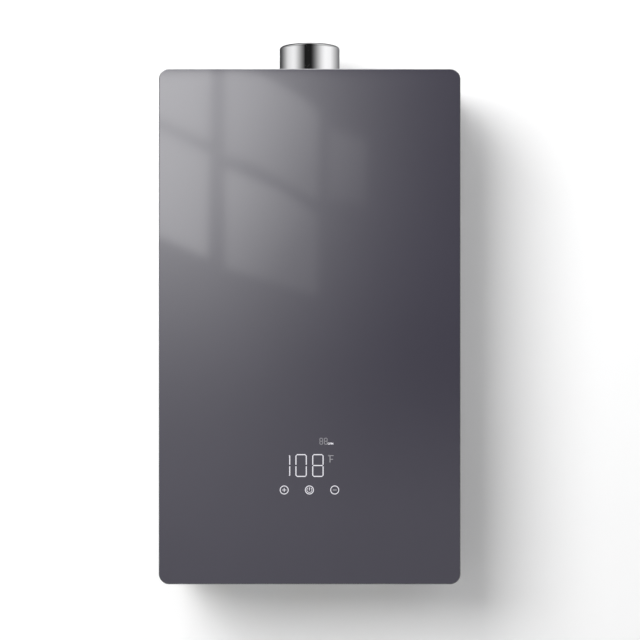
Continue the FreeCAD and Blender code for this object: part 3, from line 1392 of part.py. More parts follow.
def flow_sensor_body():
    """Flow sensor over the cold fitting: a flanged tube with two spiders that carry the turbine's axle."""
    low = NECK_TOP
    high = SENSOR_TOP
    outside = fuse([
        rod("Z", "sensor_radius", PIPE_X, "-fitting_back", (low, high)),
        rod("Z", "sensor_flange", PIPE_X, "-fitting_back", (low, f"{low} + sensor_flange_tall")),
        rod("Z", "sensor_flange", PIPE_X, "-fitting_back", (f"{high} - sensor_flange_tall", high)),
        box((f"{PIPE_X} - turbine_radius", f"{PIPE_X} + turbine_radius"),
            ("-fitting_back - sensor_flange - spider_thick", "-fitting_back"),
            (f"{TURBINE_Z} - turbine_long/2", f"{TURBINE_Z} + turbine_long/2")),
    ])
    bore = rod("Z", "sensor_bore", PIPE_X, "-fitting_back", (f"{low} + spider_thick", f"{high} - spider_thick"))
    ends = [rod("Z", "pipe_radius - pipe_wall", PIPE_X, "-fitting_back", (low, f"{low} + spider_thick")),
            rod("Z", "pipe_radius - pipe_wall", PIPE_X, "-fitting_back", (f"{high} - spider_thick", high))]
    spiders = []
    for side in (-1, 1):
        middle = f"({TURBINE_Z} + {side}*(turbine_long/2 + spider_thick))"
        span = (f"{middle} - spider_thick/2", f"{middle} + spider_thick/2")
        long_half = "(sensor_bore + pipe_wall)"
        short_half = "(spider_thick/2)"
        for half_x, half_y in ((long_half, short_half), (short_half, long_half)):
            spiders.append(box((f"{PIPE_X} - {half_x}", f"{PIPE_X} + {half_x}"),
                               (f"-fitting_back - {half_y}", f"-fitting_back + {half_y}"), span))
        spiders.append(rod("Z", "turbine_hub", PIPE_X, "-fitting_back", span))
    body = fuse([cut(outside, [bore] + ends)] + spiders)
    axle = rod("Z", "axle_radius + run_gap", PIPE_X, "-fitting_back",
               (f"{low} + spider_thick", f"{high} - spider_thick"))
    part(cut(body, [axle]), "flow_sensor_body")


def flow_turbine():
    """Small turbine that the water spins, with twisted blades and an axle."""
    centre = at(PIPE_X, "-fitting_back", TURBINE_Z)
    long = value("turbine_long")
    radius = value("turbine_radius")
    hub = Part.makeCylinder(value("turbine_hub"), long, centre - Vector(0, 0, long / 2))
    axle_long = value("turbine_long + 3*spider_thick")
    axle = Part.makeCylinder(value("axle_radius"), axle_long, centre - Vector(0, 0, axle_long / 2))
    thick = value("blade_thick")
    keep = Part.makeCylinder(radius, long, centre - Vector(0, 0, long / 2))
    blades = []
    for number in range(count("turbine_blades")):
        blade = Part.makeBox(radius + 1, thick, 2 * long, centre - Vector(0, thick / 2, long))
        blade.rotate(centre, Vector(1, 0, 0), value("blade_tilt"))
        blade.rotate(centre, Vector(0, 0, 1), 360 * number / count("turbine_blades"))
        blades.append(blade.common(keep))
    set_shape(hub.multiFuse([axle] + blades), "flow_turbine")


def drain_washer():
    """Stem of the drain plug with its rubber washer, which moves along as the knob is turned."""
    washer_top = f"({DRAIN_SEAT} - seat_gap)"
    washer_low = f"({washer_top} - drain_washer_thick)"
    part(fuse([
        rod("Z", "drain_bore - sheet_gap", DRAIN_X, "-fitting_back", (washer_low, washer_top)),
        rod("Z", "drain_stem_radius", DRAIN_X, "-fitting_back", (f"{KNOB_TOP} - drain_stem_deep", washer_low)),
    ]), "drain_washer")


def drain_knob():
    """Fluted drain knob that hangs below the bottom plate, turned by hand."""
    low = f"({KNOB_TOP} - drain_knob_tall)"
    neck_top = f"({FLOOR} + flange_tall - seat_gap)"
    head = rod("Z", "drain_knob_radius", DRAIN_X, "-fitting_back", (low, KNOB_TOP))
    neck = rod("Z", "drain_bore + pipe_wall", DRAIN_X, "-fitting_back", (KNOB_TOP, neck_top))
    flutes = []
    for number in range(count("flute_count")):
        turn = f"{number}*360/flute_count"
        flutes.append(rod("Z", "flute_radius", f"{DRAIN_X} + drain_knob_radius*cos({turn})",
                          f"-fitting_back + drain_knob_radius*sin({turn})", (low, KNOB_TOP)))
    bore = rod("Z", "drain_stem_radius + run_gap", DRAIN_X, "-fitting_back",
               (f"{KNOB_TOP} - drain_stem_deep - seat_gap", neck_top))
    part(cut(fuse([head, neck]), flutes + [bore]), "drain_knob")


def controller_box():
    """Moulded electronics box, open in front, on two feet that stand on the bottom plate."""
    x, y, z = CONTROLLER
    wall = "plastic_wall"
    outside = box(x, y, z)
    hollow = box((f"{x[0]} + {wall}", f"{x[1]} - {wall}"), (f"{y[0]} - {wall}", f"{y[1]} - {wall}"),
                 (f"{z[0]} + {wall}", f"{z[1]} - {wall}"))
    feet = [box((left, f"{left} + controller_foot"), (f"{y[0]} + {wall}", y[1]), (FLOOR, z[0]))
            for left in (f"({x[0]} + 2*controller_foot)", f"({x[1]} - 5*controller_foot)")]
    part(cut(fuse([outside] + feet), [hollow]), "controller_box")


def controller_lid():
    """Lid of the electronics box with cooling slots."""
    x, y, z = CONTROLLER
    wall = "plastic_wall"
    lid = box((f"{x[0]} + {wall} + seat_gap", f"{x[1]} - {wall} - seat_gap"), (y[0], f"{y[0]} + {wall}"),
              (f"{z[0]} + {wall} + seat_gap", f"{z[1]} - {wall} - seat_gap"))
    slots = []
    for i in range(count("lid_slots")):
        low = f"({z[1]} - lid_slot_inset - {i}*vent_pitch)"
        slots.append(box((f"{x[0]} + lid_slot_inset", f"{x[1]} - lid_slot_inset"),
                         (f"{y[0]} - {wall}", f"{y[0]} + 2*{wall}"), (low, f"{low} + {wall}")))
    part(cut(lid, slots), "controller_lid")


def controller_board():
    """Circuit board with its transformer, relays and connectors."""
    x, y, z = CONTROLLER
    wall = "plastic_wall"
    back = f"({y[1]} - {wall} - board_stand_off)"
    board = box((f"{x[0]} + 2*{wall}", f"{x[1]} - 2*{wall}"), (f"{back} - board_thick", back),
                (f"{z[0]} + 2*{wall}", f"{z[1]} - 2*{wall}"))
    face = f"({back} - board_thick)"
    pieces = [board]
    for left, low, wide, tall, deep in BOARD_PIECES:
        near = f"({x[0]} + 2*{wall} + {left})"
        foot = f"({z[0]} + 2*{wall} + {low})"
        pieces.append(box((near, f"{near} + {wide}"), (f"{face} - {deep}", face), (foot, f"{foot} + {tall}")))
    for across in (f"{x[0]} + board_pillar_inset", f"{x[1]} - board_pillar_inset"):
        for up in (f"{z[0]} + board_pillar_inset", f"{z[1]} - board_pillar_inset"):
            pieces.append(rod("Y", "screw_shank", across, (back, f"{y[1]} - {wall}"), up))
    part(fuse(pieces), "controller_board")


def igniter_module():
    """Potted spark igniter on the bottom plate, with its output stub on top."""
    x = ("igniter_left", "igniter_left + igniter_wide")
    y = ("-igniter_back - igniter_deep", "-igniter_back")
    block = box(x, y, (FLOOR, IGNITER_TOP))
    stub = rod("Z", "2*lead_radius", IGNITER_X, IGNITER_Y, (IGNITER_TOP, f"{IGNITER_TOP} + 2*lead_radius"))
    part(fuse([block, stub]), "igniter_module")


def ignition_lead():
    """Ignition lead, clipped along the front from the igniter to the spark electrode."""
    last = electrode_places()[-1]
    points = [
        at(IGNITER_X, IGNITER_Y, f"{IGNITER_TOP} + 2*lead_radius"),
        at(IGNITER_X, IGNITER_Y, f"{IGNITER_TOP} + 7*lead_radius"),
        at(IGNITER_X, f"-{LEAD_FRONT}", f"{IGNITER_TOP} + 14*lead_radius"),
        at(IGNITER_X, f"-{LEAD_FRONT}", ELECTRODE_Z),
        at(f"{last} + rod_radius", f"-{LEAD_FRONT}", ELECTRODE_Z),
    ]
    bends = [value("lead_bend")] * 3
    set_shape(tube(rounded_route(points, bends), value("lead_radius"), 0), "ignition_lead")


def cord_gland():
    """Gland for the mains cord in the bottom plate."""
    part(turned("Z", [
        ("gland_bore", "-gland_out"), ("gland_flange - gland_step", "-gland_out"),
        ("gland_flange", "-gland_step"),
        ("gland_flange", "0"), ("gland_radius", "0"), ("gland_radius", "sheet_thick"),
        ("gland_flange", "sheet_thick"), ("gland_flange", "sheet_thick + gland_step"),
        ("gland_bore", "sheet_thick + gland_step"),
    ], "-gland_left", "-gland_back", f"-{FRAME_Z}"), "cord_gland")


def display_frame():
    """Frame behind the glass: it fills the case's window, and its rim rests behind the case's front."""
    half_x = "(window_wide/2 - display_gap)"
    half_z = "(window_tall/2 - display_gap)"
    rim_x = "(window_wide/2 + display_rim)"
    rim_z = "(window_tall/2 + display_rim)"
    rear = f"(-{CASE_FRONT} + sheet_thick + display_wall)"
    body = fuse([
        box((f"-{half_x}", half_x), (f"-{DISPLAY_FRONT}", rear),
            (f"{WINDOW_Z} - {half_z}", f"{WINDOW_Z} + {half_z}")),
        box((f"-{rim_x}", rim_x), (f"-{CASE_FRONT} + sheet_thick", rear),
            (f"{WINDOW_Z} - {rim_z}", f"{WINDOW_Z} + {rim_z}")),
    ])
    cuts = [box(("-digits_wide/2", "digits_wide/2"), (f"-{DISPLAY_FRONT} - display_wall", "0"),
                (f"{WINDOW_Z} - digits_low", f"{WINDOW_Z} + digits_high"))]
    for i in (-1, 0, 1):
        cuts.append(rod("Y", "key_spring_radius + display_wall", f"{i}*key_apart",
                        (f"-{DISPLAY_FRONT} - display_wall", "0"), KEY_Z))
    part(cut(body, cuts), "display_frame")


def display_board():
    """Display board behind the frame, with its light block in the frame's opening."""
    half = "(window_wide/2 + display_rim/2)"
    board = box((f"-{half}", half), (f"-{BOARD_FRONT}", f"-{BOARD_FRONT} + board_thick"),
                (f"{WINDOW_Z} - {half}", f"{WINDOW_Z} + {half}"))
    lights = box(("-digits_wide/2 + display_gap", "digits_wide/2 - display_gap"),
                 (f"-{DISPLAY_FRONT} + display_gap", f"-{BOARD_FRONT}"),
                 (f"{WINDOW_Z} - digits_low + display_gap", f"{WINDOW_Z} + digits_high - display_gap"))
    part(fuse([board, lights]), "display_board")


def touch_springs():
    """Three springs that carry the touch keys' field from the board to the glass."""
    wire = value("key_spring_wire")
    length = value(f"{GLASS_BACK} - {BOARD_FRONT} - 2*key_spring_wire")
    springs = []
    for i in (-1, 0, 1):
        start = at(f"{i}*key_apart", f"-{BOARD_FRONT} - key_spring_wire", KEY_Z)
        springs.append(coil_spring(value("key_spring_radius"), wire, count("key_spring_turns"), length, start,
                                   Vector(0, -1, 0)))
    set_shape(Part.makeCompound(springs), "touch_springs")


for build in (
    glass_panel, glass_tape, front_case, cover_screws, cover_nuts, display_frame, display_board, touch_springs,
    back_plate, top_plate, bottom_plate, plate_rivets, frame_brackets,
    flue_gasket, flue_collar, flap_ring, flap_pin, flue_flap, chassis_screws,
    fan_volute, fan_impeller, fan_shaft, motor_plate, motor_housing, motor_stator, motor_rotor, fan_bearings,
    exhaust_hood, exchanger_shell, exchanger_fins, exchanger_coil, cold_pipe, hot_pipe,
    burner_tray, burner_bars, gas_manifold, injectors, electrodes,
    gas_inlet, hot_outlet, cold_inlet, lock_nuts, gas_valve_body, gas_pipe, flow_sensor_body, flow_turbine,
    drain_washer, drain_knob, controller_box, controller_lid, controller_board, igniter_module, ignition_lead,
    cord_gland,
):
    build()
for name, side in (("safety", -1), ("modulator", 1)):
    solenoid_coil(f"{name}_coil", side)
    solenoid_plunger(f"{name}_plunger", side)
    solenoid_spring(f"{name}_spring", side)

doc.recompute()
for thing in doc.Objects:
    if "Invalid" in thing.State or "Error" in thing.State:
        raise RuntimeError(f"{thing.Name} ({thing.Label}) failed: {thing.State}")
for thing in parts:
    if thing.Shape.isNull() or not thing.Shape.isValid() or not thing.Shape.Solids:
        raise RuntimeError(f"{thing.Label} has no valid solid")
os.makedirs("parts", exist_ok=True)
for thing in parts:
    thing.Shape.exportStep(f"parts/{thing.Label}.step")
    centre = thing.Shape.BoundBox
    print(f"{thing.Label:18} x {centre.XMin:8.2f} {centre.XMax:8.2f}  y {centre.YMin:8.2f} {centre.YMax:8.2f}"
          f"  z {centre.ZMin:8.2f} {centre.ZMax:8.2f}  solids {len(thing.Shape.Solids)}"
          f"  volume {thing.Shape.Volume:.0f}")
print(len(parts), "sub-parts")
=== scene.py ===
"""The looks of a wall-hung instant gas water heater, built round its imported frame.

Lengths are in metres in the frame's own axes: X to the right, -Y out of the wall, Z up.
"""

import logging
import math
from dataclasses import dataclass
from enum import Enum
from typing import Iterable, Sequence

import bmesh
import bpy
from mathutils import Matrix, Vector


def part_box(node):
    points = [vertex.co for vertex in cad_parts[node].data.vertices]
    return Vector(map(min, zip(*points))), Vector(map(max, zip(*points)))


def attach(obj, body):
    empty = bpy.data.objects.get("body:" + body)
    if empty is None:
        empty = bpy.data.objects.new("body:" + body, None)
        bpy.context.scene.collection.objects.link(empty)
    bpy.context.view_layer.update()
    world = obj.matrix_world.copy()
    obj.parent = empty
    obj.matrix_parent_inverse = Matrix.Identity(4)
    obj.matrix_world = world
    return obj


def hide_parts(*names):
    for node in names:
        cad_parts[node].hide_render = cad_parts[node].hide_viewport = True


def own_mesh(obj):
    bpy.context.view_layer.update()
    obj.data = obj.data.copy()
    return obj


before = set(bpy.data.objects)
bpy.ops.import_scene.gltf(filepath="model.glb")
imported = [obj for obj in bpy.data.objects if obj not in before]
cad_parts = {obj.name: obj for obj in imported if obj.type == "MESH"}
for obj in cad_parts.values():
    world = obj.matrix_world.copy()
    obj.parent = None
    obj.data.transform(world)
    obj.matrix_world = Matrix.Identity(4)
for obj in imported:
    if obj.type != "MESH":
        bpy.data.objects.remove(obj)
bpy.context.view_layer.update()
log = logging.getLogger("water_heater")

Colour = tuple[float, float, float]
Point = tuple[float, float, float]
Flat = tuple[float, float]
MM = 0.001
WELD = 1e-6
FINE_WELD = 1e-7
BLACK = (0.0, 0.0, 0.0)


class Body(Enum):
    """The moving groups that new pieces ride on."""

    CHASSIS = "chassis"
    COVER = "cover"


class Along(Enum):
    """The way in which brushing or turning marks run, as a squeeze of the noise on each axis."""

    Y = (1.0, 0.04, 1.0)
    Z = (1.0, 1.0, 0.04)
    ROUND_Z = (0.02, 0.02, 1.0)


# Node trees


class Wiring:
    """A node tree with short ways to add and join its nodes."""

    def __init__(self, tree: bpy.types.NodeTree) -> None:
        """Keeps the tree to work on."""
        self.tree = tree

    def fill(self, node: bpy.types.Node, inputs: dict) -> bpy.types.Node:
        """Gives each named or numbered input of a node its value or its link, and returns the node."""
        for key, given in inputs.items():
            if isinstance(given, bpy.types.NodeSocket):
                self.tree.links.new(given, node.inputs[key])
            else:
                node.inputs[key].default_value = given
        return node

    def add(self, kind: str, inputs: dict | None = None, **settings: object) -> bpy.types.Node:
        """Adds a node.

        Args:
            kind: the node's type, such as "ShaderNodeMath".
            inputs: a value or a socket to join, for each input's name or number.
            settings: the node's own properties, which are set first.

        Returns:
            The new node.
        """
        node = self.tree.nodes.new(kind)
        for name, setting in settings.items():
            setattr(node, name, setting)
        return self.fill(node, inputs or {})

    def link(self, given: bpy.types.NodeSocket, end: bpy.types.NodeSocket) -> None:
        """Joins an output to an input."""
        self.tree.links.new(given, end)

    def math(self, operation: str, a: object, b: object = 0.0, clamp: bool = False) -> bpy.types.NodeSocket:
        """Returns the result of a Math node on two values or sockets."""
        return self.add("ShaderNodeMath", {0: a, 1: b}, operation=operation, use_clamp=clamp).outputs[0]

    def vector(self, operation: str, a: object, b: object) -> bpy.types.NodeSocket:
        """Returns the vector that a Vector Math node makes of two vectors."""
        return self.add("ShaderNodeVectorMath", {0: a, 1: b}, operation=operation).outputs[0]

    def mixed(self, share: object, a: object, b: object) -> bpy.types.NodeSocket:
        """Returns a colour between two, by a share from 0 to 1."""
        a, b = (c if isinstance(c, bpy.types.NodeSocket) else (*c, 1.0) for c in (a, b))
        return self.add("ShaderNodeMix", {0: share, 6: a, 7: b}, data_type="RGBA").outputs[2]

    def between(self, share: object, low: object, high: object) -> bpy.types.NodeSocket:
        """Returns a number between two, by a share from 0 to 1."""
        return self.add("ShaderNodeMix", {0: share, 2: low, 3: high}, data_type="FLOAT").outputs[0]

    def ramp(self, value: object, low: float, high: float) -> bpy.types.NodeSocket:
        """Returns 0 below one value and 1 above another, with a smooth rise between them."""
        return self.add("ShaderNodeMapRange", {0: value, 1: low, 2: high},
                        interpolation_type="SMOOTHSTEP").outputs[0]

    def place(self) -> bpy.types.NodeSocket:
        """Returns the Object coordinates."""
        return self.add("ShaderNodeTexCoord").outputs["Object"]

    def axes(self, vector: object) -> bpy.types.NodeOutputs:
        """Returns the three numbers of a vector."""
        return self.add("ShaderNodeSeparateXYZ", {0: vector}).outputs

    def noise(self, vector: object, scale: object, detail: float = 3.0) -> bpy.types.NodeSocket:
        """Returns a noise from 0 to 1 at a scale in waves per metre."""
        return self.add("ShaderNodeTexNoise", {"Vector": vector, "Scale": scale, "Detail": detail}).outputs[0]

    def bump(self, height: object, distance: float) -> bpy.types.NodeSocket:
        """Returns the normal of a surface raised by a height of 0 to 1 times a distance."""
        return self.add("ShaderNodeBump", {"Height": height, "Distance": distance}).outputs[0]

    def normal(self) -> bpy.types.NodeSocket:
        """Returns the surface's own normal."""
        return self.add("ShaderNodeNewGeometry").outputs["Normal"]

    def cells(self, vector: object, scale: float, wanted: str = "Distance") -> bpy.types.NodeSocket:
        """Returns the distance or the colour of a cell pattern."""
        return self.add("ShaderNodeTexVoronoi", {"Vector": vector, "Scale": scale}).outputs[wanted]

    def inverse(self, share: object) -> bpy.types.NodeSocket:
        """Returns one less a share."""
        return self.math("SUBTRACT", 1.0, share)

    def surface(self, shader: bpy.types.Node, colour: object, roughness: object, height: object,
                distance: float) -> None:
        """Joins a colour, a roughness and a raised height to a shader."""
        self.fill(shader, {"Base Color": colour, "Roughness": roughness, "Normal": self.bump(height, distance)})

    def shine(self, inputs: dict) -> None:
        """Ends a material's tree with plain light of some colour or strength."""
        self.add("ShaderNodeOutputMaterial", {0: self.add("ShaderNodeEmission", inputs).outputs[0]})

    def effect(self, group: bpy.types.NodeTree, inputs: dict) -> bpy.types.NodeOutputs:
        """Returns the outputs of a shader group placed with its own values."""
        return self.add("ShaderNodeGroup", inputs, node_tree=group).outputs


def new_group(name: str, kind: str, inputs: dict[str, object],
              outputs: dict[str, str]) -> tuple[Wiring, dict, dict]:
    """Starts a node group with named inputs and outputs.

    Args:
        name: the group's name.
        kind: "ShaderNodeTree" or "GeometryNodeTree".
        inputs: for each input's name, its starting number, or the name of its socket type.
        outputs: for each output's name, the name of its socket type.

    Returns:
        The wiring, the input sockets by name, and the output sockets by name.
    """
    tree = bpy.data.node_groups.new(name, kind)
    for label, given in inputs.items():
        socket_kind = given if isinstance(given, str) else "NodeSocketFloat"
        socket = tree.interface.new_socket(label, in_out="INPUT", socket_type=socket_kind)
        if not isinstance(given, str):
            socket.default_value = given
    for label, socket_kind in outputs.items():
        tree.interface.new_socket(label, in_out="OUTPUT", socket_type=socket_kind)
    start = tree.nodes.new("NodeGroupInput")
    end = tree.nodes.new("NodeGroupOutput")
    return Wiring(tree), {n: start.outputs[n] for n in inputs}, {n: end.inputs[n] for n in outputs}


class Effects:
    """The surface effects that several finishes share, each a shader group built once."""

    def __init__(self) -> None:
        """Builds the groups."""
        self.wear = self.edge_wear()
        self.grain = self.fine_grain()
        self.dust = self.settled_dust()
        self.marks = self.tool_marks()

    @staticmethod
    def edge_wear() -> bpy.types.NodeTree:
        """Returns a group whose mask is bright along sharp edges, broken up by a noise."""
        w, given, out = new_group("Edge wear", "ShaderNodeTree", {"Reach": 0.001, "Amount": 1.0, "Breaks": 300.0},
                                  {"Mask": "NodeSocketFloat"})
        rounded = w.add("ShaderNodeBevel", {"Radius": given["Reach"]}, samples=4).outputs[0]
        flat = w.normal()
        alike = w.add("ShaderNodeVectorMath", {0: rounded, 1: flat}, operation="DOT_PRODUCT").outputs["Value"]
        edge = w.math("MULTIPLY", w.inverse(alike), 9.0, clamp=True)
        broken = w.ramp(w.noise(w.place(), given["Breaks"]), 0.35, 0.62)
        w.link(w.math("MULTIPLY", w.math("MULTIPLY", edge, broken), given["Amount"]), out["Mask"])
        return w.tree

    @staticmethod
    def fine_grain() -> bpy.types.NodeTree:
        """Returns a group with a fine height, and a broad mottle for colour and gloss."""
        w, given, out = new_group("Fine grain", "ShaderNodeTree", {"Grain": 1500.0, "Patches": 14.0},
                                  {"Height": "NodeSocketFloat", "Mottle": "NodeSocketFloat"})
        place = w.place()
        w.link(w.noise(place, given["Grain"], 2.0), out["Height"])
        w.link(w.ramp(w.noise(place, given["Patches"], 5.0), 0.3, 0.7), out["Mottle"])
        return w.tree

    @staticmethod
    def settled_dust() -> bpy.types.NodeTree:
        """Returns a group whose mask marks faces that look up, patchily."""
        w, given, out = new_group("Settled dust", "ShaderNodeTree", {"Amount": 0.4}, {"Mask": "NodeSocketFloat"})
        up = w.ramp(w.axes(w.normal())[2], 0.5, 0.95)
        patchy = w.ramp(w.noise(w.place(), 60.0, 6.0), 0.3, 0.75)
        w.link(w.math("MULTIPLY", w.math("MULTIPLY", up, patchy), given["Amount"]), out["Mask"])
        return w.tree

    @staticmethod
    def tool_marks() -> bpy.types.NodeTree:
        """Returns a group with lines that run along one axis, as a squeeze of the noise says."""
        w, given, out = new_group("Tool marks", "ShaderNodeTree",
                                  {"Squeeze": "NodeSocketVector", "Lines": 1800.0},
                                  {"Height": "NodeSocketFloat", "Streaks": "NodeSocketFloat"})
        place = w.vector("MULTIPLY", w.place(), given["Squeeze"])
        w.link(w.noise(place, given["Lines"], 3.0), out["Height"])
        broad = w.math("MULTIPLY", given["Lines"], 0.08)
        w.link(w.ramp(w.noise(place, broad, 3.0), 0.25, 0.75), out["Streaks"])
        return w.tree


    def worn(self, w: Wiring, reach: float, amount: float, breaks: float) -> bpy.types.NodeSocket:
        """Returns the edge wear's mask in a finish's tree."""
        return w.effect(self.wear, {"Reach": reach, "Amount": amount, "Breaks": breaks})[0]

    def grained(self, w: Wiring, grain: float, patches: float) -> bpy.types.NodeOutputs:
        """Returns the grain's Height and Mottle in a finish's tree."""
        return w.effect(self.grain, {"Grain": grain, "Patches": patches})

    def dusted(self, w: Wiring, amount: float) -> bpy.types.NodeSocket:
        """Returns the dust's mask in a finish's tree."""
        return w.effect(self.dust, {"Amount": amount})[0]

    def marked(self, w: Wiring, along: Along, lines: float) -> bpy.types.NodeOutputs:
        """Returns the tool marks' Height and Streaks in a finish's tree."""
        return w.effect(self.marks, {"Squeeze": along.value, "Lines": lines})


EFFECTS = Effects()


def scaled(colour: Colour, share: float) -> Colour:
    """Returns a colour made darker or brighter, up to full."""
    return tuple(min(1.0, c * share) for c in colour)


# Finishes


@dataclass(frozen=True)
class Finish:
    """What every finish has: a name, a colour, a gloss and the shader's plain values."""

    name: str
    colour: Colour
    roughness: float
    metallic: float = 0.0
    refraction: float = 1.5
    coat: float = 0.0

    def material(self) -> bpy.types.Material:
        """Returns the finish's material, which is made the first time that it is asked for."""
        label = f"{self.name}_finish"
        made = bpy.data.materials.get(label)
        if made:
            return made
        made = bpy.data.materials.new(label)
        made.use_nodes = True
        wiring = Wiring(made.node_tree)
        shader = made.node_tree.nodes["Principled BSDF"]
        wiring.fill(shader, {"Base Color": (*self.colour, 1.0), "Roughness": self.roughness,
                             "Metallic": self.metallic, "IOR": self.refraction, "Coat Weight": self.coat})
        self.dress(wiring, shader)
        return made

    def gloss(self, w: Wiring, share: object, more: float) -> bpy.types.NodeSocket:
        """Returns a roughness that rises from the finish's own by some more."""
        return w.between(share, self.roughness, self.roughness + more)

    def dress(self, w: Wiring, shader: bpy.types.Node) -> None:
        """Adds what varies over the surface. Each kind of finish has its own."""


@dataclass(frozen=True)
class PowderCoat(Finish):
    """Sprayed and baked paint: an orange-peel skin, faint patches, and metal at worn edges."""

    peel: float = 900.0
    peel_deep: float = 0.00006
    worn: float = 0.5
    bare: Colour = (0.5, 0.5, 0.51)

    def dress(self, w: Wiring, shader: bpy.types.Node) -> None:
        """Joins the peel, the patches, the wear and the dust to the shader."""
        grain = EFFECTS.grained(w, self.peel, 9.0)
        wear = EFFECTS.worn(w, 0.0007, self.worn, 260.0)
        dust = EFFECTS.dusted(w, 0.25)
        paint = w.mixed(grain["Mottle"], scaled(self.colour, 0.9), self.colour)
        dusty = w.mixed(dust, paint, (0.5, 0.49, 0.46))
        w.surface(shader, w.mixed(wear, dusty, self.bare), self.gloss(w, grain["Mottle"], 0.1),
                  grain["Height"], self.peel_deep)


@dataclass(frozen=True)
class ZincSheet(Finish):
    """Zinc-coated sheet: crystals of slightly different tone, dull stains and brighter cut edges."""

    crystal: float = 95.0

    def dress(self, w: Wiring, shader: bpy.types.Node) -> None:
        """Joins the crystals, the stains and the edges to the shader."""
        place = w.place()
        warped = w.vector("ADD", place, w.vector("MULTIPLY", w.add("ShaderNodeTexNoise", {
            "Vector": place, "Scale": 60.0}).outputs[1], (0.006, 0.006, 0.006)))
        crystals = w.cells(warped, self.crystal, "Color")
        tone = w.axes(crystals)[0]
        grain = EFFECTS.grained(w, 2600.0, 22.0)
        wear = EFFECTS.worn(w, 0.0006, 0.6, 320.0)
        sheet = w.mixed(tone, scaled(self.colour, 0.8), scaled(self.colour, 1.06))
        stained = w.mixed(w.math("MULTIPLY", grain["Mottle"], 0.22), sheet, (0.36, 0.36, 0.34))
        w.surface(shader, w.mixed(wear, stained, (0.8, 0.8, 0.81)), self.gloss(w, tone, 0.2),
                  grain["Height"], 0.00002)


@dataclass(frozen=True)
class ToolMarked(Finish):
    """Bare metal with brushing or turning marks along one axis, faint stains and bright edges."""

    along: Along = Along.Z
    lines: float = 1800.0
    mark_deep: float = 0.00001
    stain: Colour = (0.3, 0.27, 0.24)
    stained: float = 0.12

    def dress(self, w: Wiring, shader: bpy.types.Node) -> None:
        """Joins the marks and the stains to the shader."""
        marks = EFFECTS.marked(w, self.along, self.lines)
        grain = EFFECTS.grained(w, 1200.0, 40.0)
        wear = EFFECTS.worn(w, 0.0004, 0.5, 500.0)
        metal = w.mixed(marks["Streaks"], scaled(self.colour, 0.86), self.colour)
        dull = w.mixed(w.math("MULTIPLY", grain["Mottle"], self.stained), metal, self.stain)
        w.surface(shader, w.mixed(wear, dull, scaled(self.colour, 1.15)), self.gloss(w, marks["Height"], 0.16),
                  marks["Height"], self.mark_deep)


@dataclass(frozen=True)
class Plated(Finish):
    """Polished plating: a clear mirror with a breath of haze, fine wiping lines and a few water spots."""

    def dress(self, w: Wiring, shader: bpy.types.Node) -> None:
        """Joins the haze and the wiping lines to the shader."""
        marks = EFFECTS.marked(w, Along.ROUND_Z, 2400.0)
        grain = EFFECTS.grained(w, 700.0, 45.0)
        spots = w.cells(w.place(), 170.0)
        spotted = w.math("MULTIPLY", w.inverse(w.ramp(spots, 0.05, 0.12)), 0.12)
        haze = self.gloss(w, grain["Mottle"], 0.015)
        w.surface(shader, w.mixed(spotted, self.colour, (0.7, 0.7, 0.7)),
                  w.math("ADD", haze, w.math("MULTIPLY", spotted, 0.15)),
                  marks["Height"], 0.0000001)
        shader.inputs["Specular Tint"].default_value = (0.45, 0.45, 0.47, 1.0)


@dataclass(frozen=True)
class HeatTinted(Finish):
    """Copper that has been hot: clean at the top, with oxide colours that gather towards the burner."""

    hot_low: float = -0.045
    hot_high: float = 0.06

    def dress(self, w: Wiring, shader: bpy.types.Node) -> None:
        """Joins the oxide colours, the drawing marks and the stains to the shader."""
        place = w.place()
        height = w.axes(place)[2]
        spread = w.add("ShaderNodeMapRange", {0: height, 1: self.hot_high, 2: self.hot_low}).outputs[0]
        cloud = w.noise(place, 22.0, 5.0)
        heat = w.math("ADD", w.math("MULTIPLY", spread, 0.5), w.math("MULTIPLY", cloud, 0.5), clamp=True)
        stops = ((0.0, self.colour), (0.4, (0.66, 0.33, 0.2)), (0.6, (0.42, 0.16, 0.12)),
                 (0.74, (0.24, 0.11, 0.16)), (0.88, (0.16, 0.13, 0.15)))
        tint = colour_ramp(w, heat, stops)
        grain = EFFECTS.grained(w, 1600.0, 60.0)
        w.surface(shader, w.mixed(w.math("MULTIPLY", grain["Mottle"], 0.2), tint, (0.3, 0.17, 0.1)),
                  self.gloss(w, cloud, 0.3),
                  grain["Height"], 0.00003)


@dataclass(frozen=True)
class Cast(Finish):
    """Die-cast metal: a pebbled skin with dull hollows and rubbed edges."""

    def dress(self, w: Wiring, shader: bpy.types.Node) -> None:
        """Joins the skin, the hollows and the edges to the shader."""
        grain = EFFECTS.grained(w, 420.0, 70.0)
        wear = EFFECTS.worn(w, 0.001, 0.7, 300.0)
        skin = w.mixed(grain["Mottle"], scaled(self.colour, 0.72), self.colour)
        w.surface(shader, w.mixed(wear, skin, (0.82, 0.82, 0.83)), self.gloss(w, grain["Height"], 0.2),
                  grain["Height"], 0.00012)


@dataclass(frozen=True)
class Moulded(Finish):
    """Moulded plastic or rubber: a spark-eroded grain, faint flow patches, dust and rubbed edges."""

    grain: float = 1400.0
    grain_deep: float = 0.00004
    dusty: float = 0.3

    def dress(self, w: Wiring, shader: bpy.types.Node) -> None:
        """Joins the grain, the patches, the rub and the dust to the shader."""
        grain = EFFECTS.grained(w, self.grain, 30.0)
        wear = EFFECTS.worn(w, 0.0006, 0.35, 400.0)
        dust = EFFECTS.dusted(w, self.dusty)
        pale = tuple(min(1.0, c * 1.1 + 0.08) for c in self.colour)
        skin = w.mixed(wear, w.mixed(grain["Mottle"], scaled(self.colour, 0.88), self.colour), pale)
        w.surface(shader, w.mixed(dust, skin, (0.45, 0.43, 0.4)), self.gloss(w, grain["Mottle"], 0.12),
                  grain["Height"], self.grain_deep)


